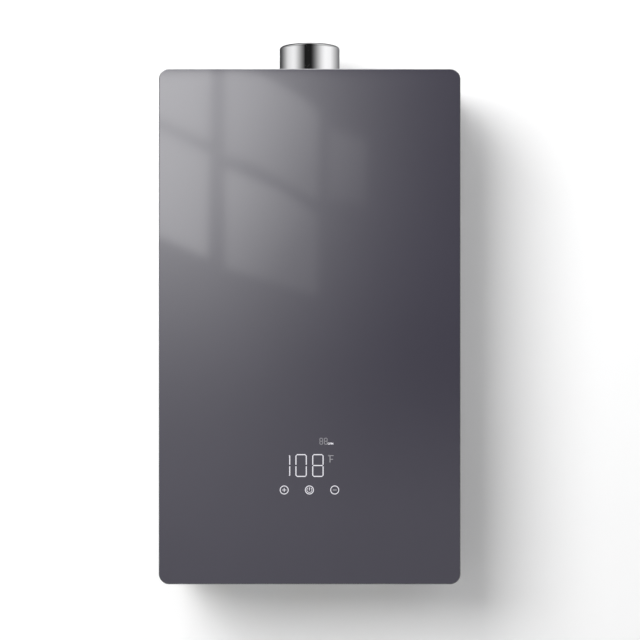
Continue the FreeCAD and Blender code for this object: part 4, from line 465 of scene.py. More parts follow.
@dataclass(frozen=True)
class Etched(Finish):
    """A circuit board: green mask over copper tracks, with tinned pads."""

    def dress(self, w: Wiring, shader: bpy.types.Node) -> None:
        """Joins the tracks and the pads to the shader."""
        place = w.place()
        bricks = w.add("ShaderNodeTexBrick", {"Vector": w.vector("MULTIPLY", place, (1.0, 0.0, 1.0)),
                                              "Scale": 60.0, "Mortar Size": 0.03, "Color1": (0, 0, 0, 1),
                                              "Color2": (0, 0, 0, 1), "Mortar": (1, 1, 1, 1)}).outputs["Color"]
        pads = w.cells(place, 260.0)
        tinned = w.inverse(w.ramp(pads, 0.16, 0.2))
        mask = w.mixed(bricks, self.colour, scaled(self.colour, 1.9))
        w.fill(shader, {"Base Color": w.mixed(tinned, mask, (0.62, 0.62, 0.6)), "Metallic": tinned,
                        "Normal": w.bump(w.math("ADD", tinned, w.axes(bricks)[0]), 0.00008)})


@dataclass(frozen=True)
class Glazed(Finish):
    """Glazed ceramic with a scorched end towards the flame."""

    def dress(self, w: Wiring, shader: bpy.types.Node) -> None:
        """Joins the scorch and the glaze's ripple to the shader."""
        place = w.place()
        inwards = w.ramp(w.math("ADD", w.axes(place)[1], w.math("MULTIPLY", w.noise(place, 300.0), 0.004)),
                         -0.113, -0.104)
        w.surface(shader, w.mixed(inwards, self.colour, (0.3, 0.22, 0.16)),
                  w.between(inwards, self.roughness, 0.6),
                  w.noise(place, 500.0), 0.00003)


@dataclass(frozen=True)
class Wound(Finish):
    """Enamelled copper wire wound between stacked iron plates."""

    def dress(self, w: Wiring, shader: bpy.types.Node) -> None:
        """Joins the turns of wire to the shader, with painted shade in the grooves between them."""
        place = w.place()
        turns = w.add("ShaderNodeTexWave", {"Vector": place, "Scale": 380.0, "Distortion": 1.5},
                      bands_direction="Y").outputs["Fac"]
        # Painted shade: the colour darkens to about a third in the grooves between the turns.
        w.surface(shader, w.mixed(turns, scaled(self.colour, 0.35), self.colour),
                  w.between(turns, 0.5, self.roughness), turns, 0.0002)


@dataclass(frozen=True)
class SmokedGlass(Finish):
    """Back-painted tempered glass: a dark violet-grey depth, a clear gloss, and a ground edge painted dark as
    painted shade, with a painted highlight along its upward-facing part.
    """

    # The ground edge's colour is dark as painted shade; the lighter colour after it is a painted highlight for the
    # edge where it faces up.
    ground: Colour = (0.006, 0.006, 0.008)
    painted_top_highlight: Colour = (0.42, 0.42, 0.44)

    def dress(self, w: Wiring, shader: bpy.types.Node) -> None:
        """Joins the ground edge, with its painted shade and its painted top highlight, and the faintest ripple and
        smears to the shader.
        """
        place = w.place()
        _, outwards, up = w.axes(w.normal())
        edge = w.inverse(w.ramp(w.math("ABSOLUTE", outwards), 0.9, 0.985))
        # Painted highlight: the edge turns lighter where it faces up, as if lit from above; elsewhere it is
        # painted dark as painted shade.
        ground = w.mixed(w.ramp(up, 0.3, 0.6), self.ground, self.painted_top_highlight)
        grain = EFFECTS.grained(w, 900.0, 7.0)
        tone = w.mixed(grain["Mottle"], scaled(self.colour, 0.96), self.colour)
        smear = w.math("MULTIPLY", w.ramp(w.noise(w.vector("MULTIPLY", place, (1.0, 1.0, 0.35)), 9.0, 6.0),
                                          0.45, 0.7), 0.012)
        ripple = w.math("MULTIPLY", w.noise(place, 3.2, 0.0), w.inverse(edge))
        w.surface(shader, w.mixed(edge, tone, ground), w.math("ADD", w.between(edge, self.roughness, 0.5), smear),
                  ripple, 0.00009)


@dataclass(frozen=True)
class Lit(Finish):
    """A lit mark behind the glass, not quite even in its brightness."""

    glow: Colour = (0.82, 0.81, 0.87)
    level: float = 1.0

    def dress(self, w: Wiring, shader: bpy.types.Node) -> None:
        """Joins an uneven glow to the shader."""
        uneven = w.noise(w.place(), 420.0)
        w.fill(shader, {"Emission Color": w.mixed(uneven, scaled(self.glow, 0.92), scaled(self.glow, 1.06)),
                        "Emission Strength": self.level})


def bare_material(name: str) -> tuple[bpy.types.Material, Wiring]:
    """Returns a new material with an empty tree, and the tree's wiring."""
    made = bpy.data.materials.new(name)
    made.use_nodes = True
    made.node_tree.nodes.clear()
    return made, Wiring(made.node_tree)


def colour_ramp(w: Wiring, value: object, stops: Sequence[tuple[float, Colour]]) -> bpy.types.NodeSocket:
    """Returns a colour read from a ramp.

    Args:
        w: the tree's wiring.
        value: where to read the ramp, from 0 to 1.
        stops: the place and the colour of each stop, in order.

    Returns:
        The colour's socket.
    """
    node = w.add("ShaderNodeValToRGB", {0: value})
    elements = node.color_ramp.elements
    while len(elements) < len(stops):
        elements.new(0.5)
    for element, (place, colour) in zip(elements, sorted(stops)):
        element.position = place
        element.color = (*colour, 1.0)
    return node.outputs[0]


GLASS = SmokedGlass("smoked_glass", (0.046, 0.043, 0.06), 0.055, refraction=1.925)
CASE = PowderCoat("case_grey", (0.33, 0.33, 0.35), 0.42)
MOTOR_PAINT = PowderCoat("motor_paint", (0.1, 0.1, 0.11), 0.38, peel=1500.0, worn=0.8)
GALVANISED = ZincSheet("galvanised", (0.6, 0.62, 0.64), 0.3, metallic=0.85)
CHROME = Plated("chrome", (0.87, 0.87, 0.88), 0.01, metallic=1.0)
STEEL = ToolMarked("steel", (0.62, 0.62, 0.64), 0.26, metallic=1.0, stained=0.2)
SPUN_STEEL = ToolMarked("steel_spun", (0.64, 0.64, 0.66), 0.24, metallic=1.0, along=Along.Y)
BRASS = ToolMarked("brass", (0.75, 0.58, 0.3), 0.22, metallic=1.0, along=Along.ROUND_Z, stain=(0.4, 0.28, 0.12))
COPPER = HeatTinted("copper", (0.78, 0.44, 0.3), 0.22, metallic=1.0)
ALUMINIUM = Cast("cast_aluminium", (0.62, 0.62, 0.63), 0.4, metallic=0.9)
BLACK_PLASTIC = Moulded("black_plastic", (0.035, 0.035, 0.038), 0.42)
WHITE_PLASTIC = Moulded("white_plastic", (0.78, 0.78, 0.76), 0.4, dusty=0.35)
BLUE_PLASTIC = Moulded("blue_plastic", (0.03, 0.11, 0.34), 0.36)
RUBBER = Moulded("rubber", (0.03, 0.03, 0.032), 0.68, grain=800.0)
FOAM = Moulded("foam", (0.035, 0.035, 0.035), 0.9, grain=700.0, grain_deep=0.0002)
SILICONE = Moulded("red_silicone", (0.42, 0.035, 0.03), 0.5, grain=2200.0, coat=0.1)
BOARD = Etched("green_board", (0.02, 0.16, 0.07), 0.32, coat=0.3)
CERAMIC = Glazed("ceramic", (0.86, 0.84, 0.78), 0.2)
WINDINGS = Wound("windings", (0.55, 0.26, 0.12), 0.3, metallic=0.6)
LIT = Lit("lit_white", (0.02, 0.02, 0.02), 0.3)
LIT_DIM = Lit("lit_dim", (0.02, 0.02, 0.02), 0.3, level=0.39)

WORN_BY: dict[Finish, tuple[str, ...]] = {
    GLASS: ("glass_panel",),
    FOAM: ("glass_tape",),
    CASE: ("front_case",),
    STEEL: ("cover_screws", "cover_nuts", "touch_springs", "plate_rivets", "flap_pin", "chassis_screws",
            "burner_bars", "safety_plunger", "modulator_plunger", "safety_spring", "modulator_spring"),
    SPUN_STEEL: ("flap_ring", "flue_flap", "fan_impeller", "fan_shaft", "motor_rotor", "fan_bearings"),
    BLACK_PLASTIC: ("display_frame", "flow_turbine", "igniter_module", "cord_gland", "safety_coil",
                    "modulator_coil"),
    BOARD: ("display_board", "controller_board"),
    GALVANISED: ("back_plate", "top_plate", "bottom_plate", "frame_brackets", "fan_volute", "motor_plate",
                 "exhaust_hood", "burner_tray"),
    RUBBER: ("flue_gasket", "drain_washer"),
    CHROME: ("flue_collar",),
    MOTOR_PAINT: ("motor_housing",),
    WINDINGS: ("motor_stator",),
    COPPER: ("exchanger_shell", "exchanger_fins", "exchanger_coil", "cold_pipe", "hot_pipe"),
    ALUMINIUM: ("gas_manifold", "gas_valve_body", "gas_pipe"),
    BRASS: ("injectors", "gas_inlet", "hot_outlet", "cold_inlet", "lock_nuts"),
    CERAMIC: ("electrodes",),
    WHITE_PLASTIC: ("flow_sensor_body", "controller_box", "controller_lid"),
    BLUE_PLASTIC: ("drain_knob",),
    SILICONE: ("ignition_lead",),
}


def dress_nodes(nodes: dict[str, bpy.types.Object]) -> None:
    """Gives every CAD node its finish.

    Args:
        nodes: the frame's objects by name.
    """
    for finish, names in WORN_BY.items():
        for name in names:
            for place in nodes[name].material_slots:
                place.material = finish.material()
        log.info("%s dresses %s", finish.name, ", ".join(names))


# Meshes


def finished(name: str, mesh: bpy.types.Mesh, finish: Finish, body: Body,
             stands_for: Sequence[str] = ()) -> bpy.types.Object:
    """Makes a mesh into a piece of the object.

    Args:
        name: the piece's name.
        mesh: its shape, in the frame's own place.
        finish: what it is finished with.
        body: what it rides on.
        stands_for: the CAD nodes that it replaces.

    Returns:
        The piece.
    """
    mesh.materials.clear()
    mesh.materials.append(finish.material())
    made = on_scene(name, mesh)
    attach(made, body.value)
    if stands_for:
        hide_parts(*stands_for)
    log.info("%s: %d faces, on %s", name, len(mesh.polygons), body.value)
    return made


def plain_mesh(shape: bmesh.types.BMesh, name: str) -> bpy.types.Mesh:
    """Turns a worked shape into a mesh as it is, and frees the shape."""
    mesh = bpy.data.meshes.new(name)
    shape.to_mesh(mesh)
    shape.free()
    return mesh


def mesh_of(shape: bmesh.types.BMesh, name: str) -> bpy.types.Mesh:
    """Turns a worked shape into a mesh with its faces outwards, and frees the shape."""
    bmesh.ops.recalc_face_normals(shape, faces=shape.faces)
    return plain_mesh(shape, name)


def welded(node: bpy.types.Object) -> bmesh.types.BMesh:
    """Returns a node's shape with its doubled corners joined."""
    shape = bmesh.new()
    shape.from_mesh(node.data)
    bmesh.ops.remove_doubles(shape, verts=shape.verts, dist=WELD)
    return shape


def cross_outline(arm: float, line: float) -> list[Flat]:
    """Returns the outline of a cross by the reach of its arms and half their width."""
    return [(line, line), (line, arm), (-line, arm), (-line, line), (-arm, line), (-arm, -line),
            (-line, -line), (-line, -arm), (line, -arm), (line, -line), (arm, -line), (arm, line)]


def evaluated_mesh(source: bpy.types.Object) -> bpy.types.Mesh:
    """Returns an object's mesh with its modifiers worked into it, and removes the object."""
    graph = bpy.context.evaluated_depsgraph_get()
    mesh = bpy.data.meshes.new_from_object(source.evaluated_get(graph))
    bpy.data.objects.remove(source)
    return mesh


def on_scene(name: str, data: bpy.types.ID) -> bpy.types.Object:
    """Returns a new object in the scene that holds some data."""
    made = bpy.data.objects.new(name, data)
    bpy.context.scene.collection.objects.link(made)
    return made


def turned(profile: Sequence[Flat], steps: int) -> bmesh.types.BMesh:
    """Turns a profile about the Z axis.

    Args:
        profile: the radius and height of each point, from one pole to the other.
        steps: how many steps there are in a turn.

    Returns:
        The closed shape.
    """
    shape = bmesh.new()
    rings = []
    for radius, height in profile:
        count = steps if radius > 0 else 1
        turns = (2 * math.pi * i / count for i in range(count))
        rings.append([shape.verts.new((radius * math.cos(t), radius * math.sin(t), height)) for t in turns])
    for low, high in zip(rings, rings[1:]):
        for i in range(steps):
            corners = [low[i % len(low)], low[(i + 1) % len(low)], high[(i + 1) % len(high)], high[i % len(high)]]
            shape.faces.new(dict.fromkeys(corners))
    return shape


def prism(shape: bmesh.types.BMesh, near: Sequence[Vector], far: Sequence[Vector]) -> None:
    """Adds a closed prism between two outlines of the same number of points."""
    front = [shape.verts.new(p) for p in near]
    back = [shape.verts.new(p) for p in far]
    shape.faces.new(front)
    shape.faces.new(reversed(back))
    for i in range(len(front)):
        j = (i + 1) % len(front)
        shape.faces.new((front[i], back[i], back[j], front[j]))


# The lit display


@dataclass(frozen=True)
class Figure:
    """A lit figure of up to seven bars, its corners cut off, in millimetres."""

    wide: float
    tall: float
    stroke: float
    corner: float
    slit: float = 0.12
    waist: float = 1.2

    BARS = {"0": "abcdef", "1": "bc", "8": "abcdefg"}

    def bars(self, figure: str) -> list[list[Flat]]:
        """Returns the outlines of a figure's bars about the figure's middle.

        Args:
            figure: the figure, as a character.

        Returns:
            One outline for each bar.
        """
        x, z = self.wide / 2, self.tall / 2
        s, c = self.stroke, self.corner
        k = c * 0.5
        h = self.slit / 2
        outer = (-x + c / 2, z - c / 2)
        inner = (-x + s + k / 2, z - s - k / 2)
        flat = [(outer[0] + h, outer[1] + h), (-x + c, z), (x - c, z), (-outer[0] - h, outer[1] + h),
                (-inner[0] - h, inner[1] + h), (x - s - k, z - s), (-x + s + k, z - s),
                (inner[0] + h, inner[1] + h)]
        upright = [(outer[0] - h, outer[1] - h), (-x, z - c), (-x, self.waist / 2), (-x + s, self.waist / 2),
                   (-x + s, z - s - k), (inner[0] - h, inner[1] - h)]
        tip = x - s / 2 - self.slit
        middle = [(-tip, 0), (-tip + s / 2, s / 2), (tip - s / 2, s / 2), (tip, 0), (tip - s / 2, -s / 2),
                  (-tip + s / 2, -s / 2)]
        made = {"a": (flat, 1, 1), "d": (flat, 1, -1), "f": (upright, 1, 1), "b": (upright, -1, 1),
                "e": (upright, 1, -1), "c": (upright, -1, -1), "g": (middle, 1, 1)}
        wanted = (made[bar] for bar in self.BARS[figure])
        return [[(px * across, pz * up) for px, pz in points] for points, across, up in wanted]


class Marks:
    """Thin marks on the front of the glass, gathered into one mesh. Their places are in millimetres."""

    PROUD = 0.00003
    SUNK = 0.0001

    def __init__(self, face: float) -> None:
        """Starts an empty set of marks on a face at that Y."""
        self.face = face
        self.shape = bmesh.new()

    def outline(self, points: Sequence[Flat], middle: Flat = (0.0, 0.0)) -> None:
        """Adds one closed outline about a middle."""
        layers = []
        for y in (self.face - self.PROUD, self.face + self.SUNK):
            layers.append([Vector(((middle[0] + x) * MM, y, (middle[1] + z) * MM)) for x, z in points])
        prism(self.shape, *layers)

    def ring(self, middle: Flat, radius: float, wide: float, opening: float = 0.0) -> None:
        """Adds a ring, or part of one that is open at its top.

        Args:
            middle: the ring's middle.
            radius: its outer radius.
            wide: how wide its line is.
            opening: the angle left open at the top, in degrees.
        """
        steps = 48
        turn = math.radians(360 - opening)
        start = math.radians(90 + opening / 2)
        count = steps + 1 if opening else steps
        front, back = self.face - self.PROUD, self.face + self.SUNK
        loops = []
        for r, y in ((radius, front), (radius - wide, front), (radius - wide, back), (radius, back)):
            turns = (start + turn * i / steps for i in range(count))
            loops.append([self.shape.verts.new(((middle[0] + r * math.cos(t)) * MM, y,
                                                (middle[1] + r * math.sin(t)) * MM)) for t in turns])
        for near, far in zip(loops, loops[1:] + loops[:1]):
            for i in range(steps):
                j = (i + 1) % count
                self.shape.faces.new((near[i], near[j], far[j], far[i]))
        if opening:
            for end in (0, -1):
                self.shape.faces.new([loop[end] for loop in loops])

    def figures(self, text: str, kind: Figure, middles: Sequence[Flat]) -> None:
        """Adds lit figures, each about its own middle."""
        for figure, middle in zip(text, middles):
            for bar in kind.bars(figure):
                self.outline(bar, middle)

    def letters(self, text: str, low: Flat, high: Flat, weight: float) -> None:
        """Adds letters that fill a box.

        Args:
            text: the letters.
            low: the box's lower left corner.
            high: its upper right corner.
            weight: how much the strokes are thickened, as a share of the letters' size.
        """
        curve = bpy.data.curves.new("letters", "FONT")
        curve.body = text
        curve.offset = weight
        curve.extrude = 0.1
        solid = evaluated_mesh(on_scene("letters", curve))
        xs, ys = ([v.co[i] for v in solid.vertices] for i in (0, 1))
        left, foot = min(xs), min(ys)
        across = (high[0] - low[0]) / (max(xs) - left)
        up = (high[1] - low[1]) / (max(ys) - foot)
        for vertex in solid.vertices:
            x, y, z = vertex.co
            vertex.co = ((low[0] + (x - left) * across) * MM, self.face + (self.SUNK if z < 0 else -self.PROUD),
                         (low[1] + (y - foot) * up) * MM)
        self.shape.from_mesh(solid)
        bmesh.ops.remove_doubles(self.shape, verts=self.shape.verts, dist=FINE_WELD)


@dataclass
class Display:
    """What is lit behind the glass: the temperature, the flow and the three touch keys. In millimetres."""

    figure: Figure = Figure(wide=13.15, tall=26.4, stroke=1.16, corner=1.9, waist=1.8)
    small: Figure = Figure(wide=3.9, tall=7.6, stroke=0.62, corner=0.85, waist=0.5)
    figure_middles: tuple[Flat, ...] = ((-29.07, -161.2), (-9.885, -161.2), (9.6, -161.2))
    small_middles: tuple[Flat, ...] = ((13.5, -133.0), (18.7, -133.0))
    key_middles: tuple[Flat, ...] = ((-29.5, -189.55), (-0.25, -189.55), (29.1, -189.55))
    key_radius: float = 5.15
    key_line: float = 0.92

    def build(self) -> None:
        """Makes the bright marks and the dimmer ones."""
        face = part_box("glass_panel")[0].y
        bright, dim = Marks(face), Marks(face)
        bright.figures("108", self.figure, self.figure_middles)
        bright.letters("GPM", (20.9, -137.0), (27.4, -134.6), 0.03)
        for middle in self.key_middles:
            bright.ring(middle, self.key_radius, self.key_line)
        dim.figures("88", self.small, self.small_middles)
        dim.outline(self.letter_f())
        dim.ring((22.2, -149.8), 0.85, 0.4)
        self.key_marks(bright, dim)
        for name, marks, finish in (("lit_figures", bright, LIT), ("lit_units", dim, LIT_DIM)):
            finished(name, mesh_of(marks.shape, name), finish, Body.COVER)

    def letter_f(self) -> list[Flat]:
        """Returns the outline of the unit's letter."""
        left, stem, arm, right = 23.15, 24.15, 27.1, 27.8
        low, under, over, below, top = -157.6, -154.4, -153.6, -150.1, -149.3
        return [(left, low), (stem, low), (stem, under), (arm, under), (arm, over), (stem, over), (stem, below),
                (right, below), (right, top), (left, top)]

    def key_marks(self, bright: Marks, dim: Marks) -> None:
        """Adds the raise, power and lower marks inside the rings."""
        more, power, less = self.key_middles
        arm, line, thin = 2.3, 0.5, 0.36
        bright.outline(cross_outline(arm, thin), more)
        dim.outline([(-arm, -line), (arm, -line), (arm, line), (-arm, line)], less)
        bright.ring(power, 3.2, 0.6, opening=70)
        bright.outline([(-0.4, -0.6), (0.4, -0.6), (0.4, 3.0), (-0.4, 3.0)], power)


# Screws and threads


def finished_tree(w: Wiring, placed: object, finish: object, end: object) -> bpy.types.NodeTree:
    """Ends a Geometry Nodes tree: real copies, with their finish."""
    real = w.add("GeometryNodeRealizeInstances", {0: placed}).outputs[0]
    w.link(w.add("GeometryNodeSetMaterial", {"Geometry": real, "Material": finish}).outputs[0], end)
    return w.tree


def copies_tree() -> bpy.types.NodeTree:
    """Returns the Geometry Nodes tree that puts an aimed copy of an object on every point."""
    w, given, out = new_group("Placed copies", "GeometryNodeTree",
                              {"Geometry": "NodeSocketGeometry", "Copy": "NodeSocketObject",
                               "Finish": "NodeSocketMaterial", "Seed": "NodeSocketInt"},
                              {"Geometry": "NodeSocketGeometry"})
    aim = w.add("GeometryNodeInputNamedAttribute", {0: "aim"}, data_type="FLOAT_VECTOR").outputs[0]
    facing = w.add("FunctionNodeAlignRotationToVector", {"Vector": aim}, axis="Z").outputs[0]
    twist = w.add("FunctionNodeRandomValue", data_type="FLOAT")
    w.fill(twist, {2: 0.0, 3: 2 * math.pi, "Seed": given["Seed"]})
    spin = w.add("ShaderNodeCombineXYZ", {2: twist.outputs[1]}).outputs[0]
    spun = w.add("FunctionNodeRotateRotation", rotation_space="LOCAL")
    w.fill(spun, {0: facing, 1: w.add("FunctionNodeEulerToRotation", {0: spin}).outputs[0]})
    copy = w.add("GeometryNodeObjectInfo", {"Object": given["Copy"]}).outputs["Geometry"]
    placed = w.add("GeometryNodeInstanceOnPoints", {"Points": given["Geometry"], "Instance": copy,
                                                    "Rotation": spun.outputs[0]}).outputs[0]
    return finished_tree(w, placed, given["Finish"], out["Geometry"])


def ridge_tree() -> bpy.types.NodeTree:
    """Returns the Geometry Nodes tree that winds a thread's ridge up a cylinder."""
    w, given, out = new_group("Thread ridge", "GeometryNodeTree",
                              {"Geometry": "NodeSocketGeometry", "Radius": 0.01, "Turns": 8.0, "Tall": 0.014,
                               "Ridge": 0.0006, "Foot": "NodeSocketVector", "Finish": "NodeSocketMaterial"},
                              {"Geometry": "NodeSocketGeometry"})
    spiral = w.add("GeometryNodeCurveSpiral", {"Resolution": 40, "Rotations": given["Turns"],
                                               "Start Radius": given["Radius"], "End Radius": given["Radius"],
                                               "Height": given["Tall"]}).outputs[0]
    section = w.add("GeometryNodeCurvePrimitiveCircle", {"Resolution": 4, "Radius": given["Ridge"]}).outputs[0]
    ridge = w.add("GeometryNodeCurveToMesh", {"Curve": spiral, "Profile Curve": section,
                                              "Fill Caps": True}).outputs[0]
    placed = w.add("GeometryNodeTransform", {"Geometry": ridge, "Translation": given["Foot"]}).outputs[0]
    return finished_tree(w, placed, given["Finish"], out["Geometry"])


def grown(name: str, start: bpy.types.Mesh, tree: bpy.types.NodeTree, inputs: dict) -> bpy.types.Mesh:
    """Runs a Geometry Nodes tree on a mesh.

    Args:
        name: the name for the object that carries the modifier.
        start: the mesh that the tree is given.
        tree: the tree.
        inputs: a value for each of the tree's named inputs.

    Returns:
        The tree's result as a plain mesh.
    """
    host = on_scene(name, start)
    modifier = host.modifiers.new(name, "NODES")
    modifier.node_group = tree
    for item in tree.interface.items_tree:
        if item.in_out == "INPUT" and item.name in inputs:
            modifier[item.identifier] = inputs[item.name]
    return evaluated_mesh(host)


def loose_islands(node: bpy.types.Object) -> list[list[Vector]]:
    """Returns the corner points of each separate solid in a node, in the node's own order."""
    shape = welded(node)
    waiting = set(shape.verts)
    islands = []
    for first in shape.verts:
        if first not in waiting:
            continue
        waiting.discard(first)
        edge = [first]
        island = []
        while edge:
            vertex = edge.pop()
            island.append(vertex.co.copy())
            near = [e.other_vert(vertex) for e in vertex.link_edges]
            fresh = [v for v in near if v in waiting]
            waiting.difference_update(fresh)
            edge.extend(fresh)
        islands.append(island)
    shape.free()
    return islands


@dataclass(frozen=True)
class Screw:
    """A pan-headed screw with a cross recess, its head above Z 0 and its thread below."""

    head: float
    head_tall: float
    shank: float
    length: float

    def profile(self) -> list[Flat]:
        """Returns the radius and height of the screw's outline, from its tip to the top of its head."""
        pitch = self.shank * 0.4
        turns = max(2, int((self.length - 2 * pitch) / pitch))
        minor = self.shank * 0.8
        points = [(0.0, -self.length), (minor * 0.75, -self.length)]
        for i in range(turns):
            z = -self.length + pitch * (i + 0.5)
            points += [(minor, z), (self.shank, z + pitch / 2)]
        points += [(self.shank, 0.0), (self.head * 0.93, 0.0), (self.head, self.head_tall * 0.1)]
        for turn in range(1, 7):
            a = math.radians(90 * turn / 6)
            points.append((self.head * (0.62 + 0.38 * math.cos(a)), self.head_tall * (0.35 + 0.65 * math.sin(a))))
        return points + [(0.0, self.head_tall)]

    def mesh(self) -> bpy.types.Mesh:
        """Returns the screw's mesh, with the recess cut out of it."""
        cross = cross_outline(self.head * 0.58, self.head * 0.11)
        cutter = bmesh.new()
        top, foot = self.head_tall * 1.3, self.head_tall * 0.25
        prism(cutter, [Vector((x, y, top)) for x, y in cross],
              [Vector((x * 0.6, y * 0.6, foot)) for x, y in cross])
        tool = on_scene("recess", mesh_of(cutter, "recess"))
        blank = on_scene("screw", mesh_of(turned(self.profile(), 28), "screw"))
        cut = blank.modifiers.new("recess", "BOOLEAN")
        cut.object = tool
        mesh = evaluated_mesh(blank)
        bpy.data.objects.remove(tool)
        return mesh


@dataclass
class Fasteners:
    """The screws, made anew with threads and recesses where the frame has its plain ones."""

    tree: bpy.types.NodeTree
    seed: int = 7

    def measured(self, points: list[Vector]) -> tuple[Screw, Vector, Vector]:
        """Reads one plain screw.

        Args:
            points: the corner points of its solid.

        Returns:
            Its sizes, the middle of the underside of its head, and the way that its head faces.
        """
        low, high = (Vector([pick(p[i] for p in points) for i in range(3)]) for pick in (min, max))
        size = high - low
        axis = max(range(3), key=lambda i: abs(size[i] - (sum(size) - size[i]) / 2))
        middle = (low + high) / 2
        head = max(size[i] for i in range(3) if i != axis) / 2

        def out(p: Vector) -> float:
            """Returns a point's distance from the screw's axis."""
            away = p - middle
            away[axis] = 0
            return away.length

        rim = [p[axis] for p in points if out(p) > 0.97 * head]
        way = 1 if sum(rim) / len(rim) > middle[axis] else -1
        under = min(rim) if way > 0 else max(rim)
        top = high[axis] if way > 0 else low[axis]
        tip = low[axis] if way > 0 else high[axis]
        shank = max(out(p) for p in points if (under - p[axis]) * way > 0.0003)
        aim = Vector([way if i == axis else 0 for i in range(3)])
        seat = middle.copy()
        seat[axis] = under
        sizes = (head, abs(top - under), shank, abs(under - tip))
        return Screw(*(round(s, 5) for s in sizes)), seat, aim

    def build(self, node: str, body: Body) -> None:
        """Replaces a node of plain screws.

        Args:
            node: the node's name.
            body: what it rides on.
        """
        kinds: dict[Screw, list[tuple[Vector, Vector]]] = {}
        for island in loose_islands(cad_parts[node]):
            kind, seat, aim = self.measured(island)
            kinds.setdefault(kind, []).append((seat, aim))
        joined = bmesh.new()
        for kind, places in kinds.items():
            points = bpy.data.meshes.new("places")
            points.from_pydata([seat for seat, _ in places], [], [])
            aims = points.attributes.new("aim", "FLOAT_VECTOR", "POINT")
            aims.data.foreach_set("vector", [number for _, aim in places for number in aim])
            copy = on_scene("screw", kind.mesh())
            inputs = {"Copy": copy, "Finish": STEEL.material(), "Seed": self.seed}
            joined.from_mesh(grown("screws", points, self.tree, inputs))
            bpy.data.objects.remove(copy)
            log.info("%s: %d screws of %s", node, len(places), kind)
        name = f"{node}_threaded"
        finished(name, mesh_of(joined, name), STEEL, body, [node])


@dataclass
class Fittings:
    """The threaded pipe ends under the case."""

    tree: bpy.types.NodeTree
    nodes: tuple[str, ...] = ("gas_inlet", "hot_outlet", "cold_inlet")
    major: float = 10.48 * MM
    thread_deep: float = 0.8 * MM
    pitch: float = 1.814 * MM
    thread_top: float = -299.0 * MM

    def build(self) -> None:
        """Replaces each fitting by one whose thread is cut."""
        for node in self.nodes:
            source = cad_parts[node]
            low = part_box(node)[0].z
            centre = self.axis(source)
            shape = welded(source)
            for vertex in shape.verts:
                out = Vector((vertex.co.x - centre.x, vertex.co.y - centre.y))
                if abs(out.length - self.major) < 0.3 * MM and vertex.co.z < self.thread_top + 0.2 * MM:
                    out *= (self.major - self.thread_deep) / out.length
                    vertex.co.x, vertex.co.y = centre.x + out.x, centre.y + out.y
            tall = self.thread_top - low - self.pitch
            inputs = {"Radius": self.major - self.thread_deep * 0.55, "Turns": tall / self.pitch, "Tall": tall,
                      "Ridge": self.thread_deep * 0.55, "Foot": Vector((centre.x, centre.y, low + self.pitch / 2)),
                      "Finish": BRASS.material()}
            shape.from_mesh(grown("thread", bpy.data.meshes.new("start"), self.tree, inputs))
            name = f"{node}_threaded"
            finished(name, plain_mesh(shape, name), BRASS, Body.CHASSIS, [node])

    def axis(self, source: bpy.types.Object) -> Vector:
        """Returns the middle of the thread's lowest ring."""
        low = min(v.co.z for v in source.data.vertices)
        ring = [v.co for v in source.data.vertices if v.co.z < low + 0.1 * MM]
        xs, ys = ([p[i] for p in ring] for i in (0, 1))
        return Vector(((min(xs) + max(xs)) / 2, (min(ys) + max(ys)) / 2, low))


@dataclass
class ValveSprings:
    """The gas valve's springs."""

    fixed_end: float = -78.0 * MM
    lifted_by: tuple[tuple[str, str], ...] = (("safety_spring", "safety_lift"),
                                              ("modulator_spring", "modulator_lift"))

    def build(self) -> None:
        """Replaces each spring by a copy of its own mesh, on the chassis."""
        for node, joint in self.lifted_by:
            name = f"{node}_coil"
            shape = welded(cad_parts[node])
            coil = finished(name, mesh_of(shape, name), STEEL, Body.CHASSIS, [node])
            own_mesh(coil)


# The room


@dataclass(frozen=True)
class Backdrop:
    """Plain matt paint that shows from its front only."""

    name: str
    colour: Colour
    bounced: Colour

    def material(self) -> bpy.types.Material:
        """Returns the paint, which lets everything through from behind and bounces its own share of light."""
        made, w = bare_material(self.name)
        bounce = w.add("ShaderNodeLightPath").outputs["Is Diffuse Ray"]
        paint = w.add("ShaderNodeBsdfDiffuse", {0: w.mixed(bounce, self.colour, self.bounced)}).outputs[0]
        clear = w.add("ShaderNodeBsdfTransparent").outputs[0]
        behind = w.add("ShaderNodeNewGeometry").outputs["Backfacing"]
        shown = w.add("ShaderNodeMixShader", {0: behind, 1: paint, 2: clear}).outputs[0]
        w.add("ShaderNodeOutputMaterial", {0: shown})
        return made


PHOTO_MIDDLE = (309.65, 326.8)
PHOTO_SCALE = 862.0
MIRRORED = 2.276 / PHOTO_SCALE
MIRROR_DROP = 0.0097


def mirrored(pixel: Flat, y: float) -> Vector:
    """Returns the point in the room that the front mirrors at a pixel of the photograph."""
    x = (pixel[0] - PHOTO_MIDDLE[0]) * MIRRORED
    z = (PHOTO_MIDDLE[1] - pixel[1]) * MIRRORED - MIRROR_DROP
    return Vector((x, y, z))


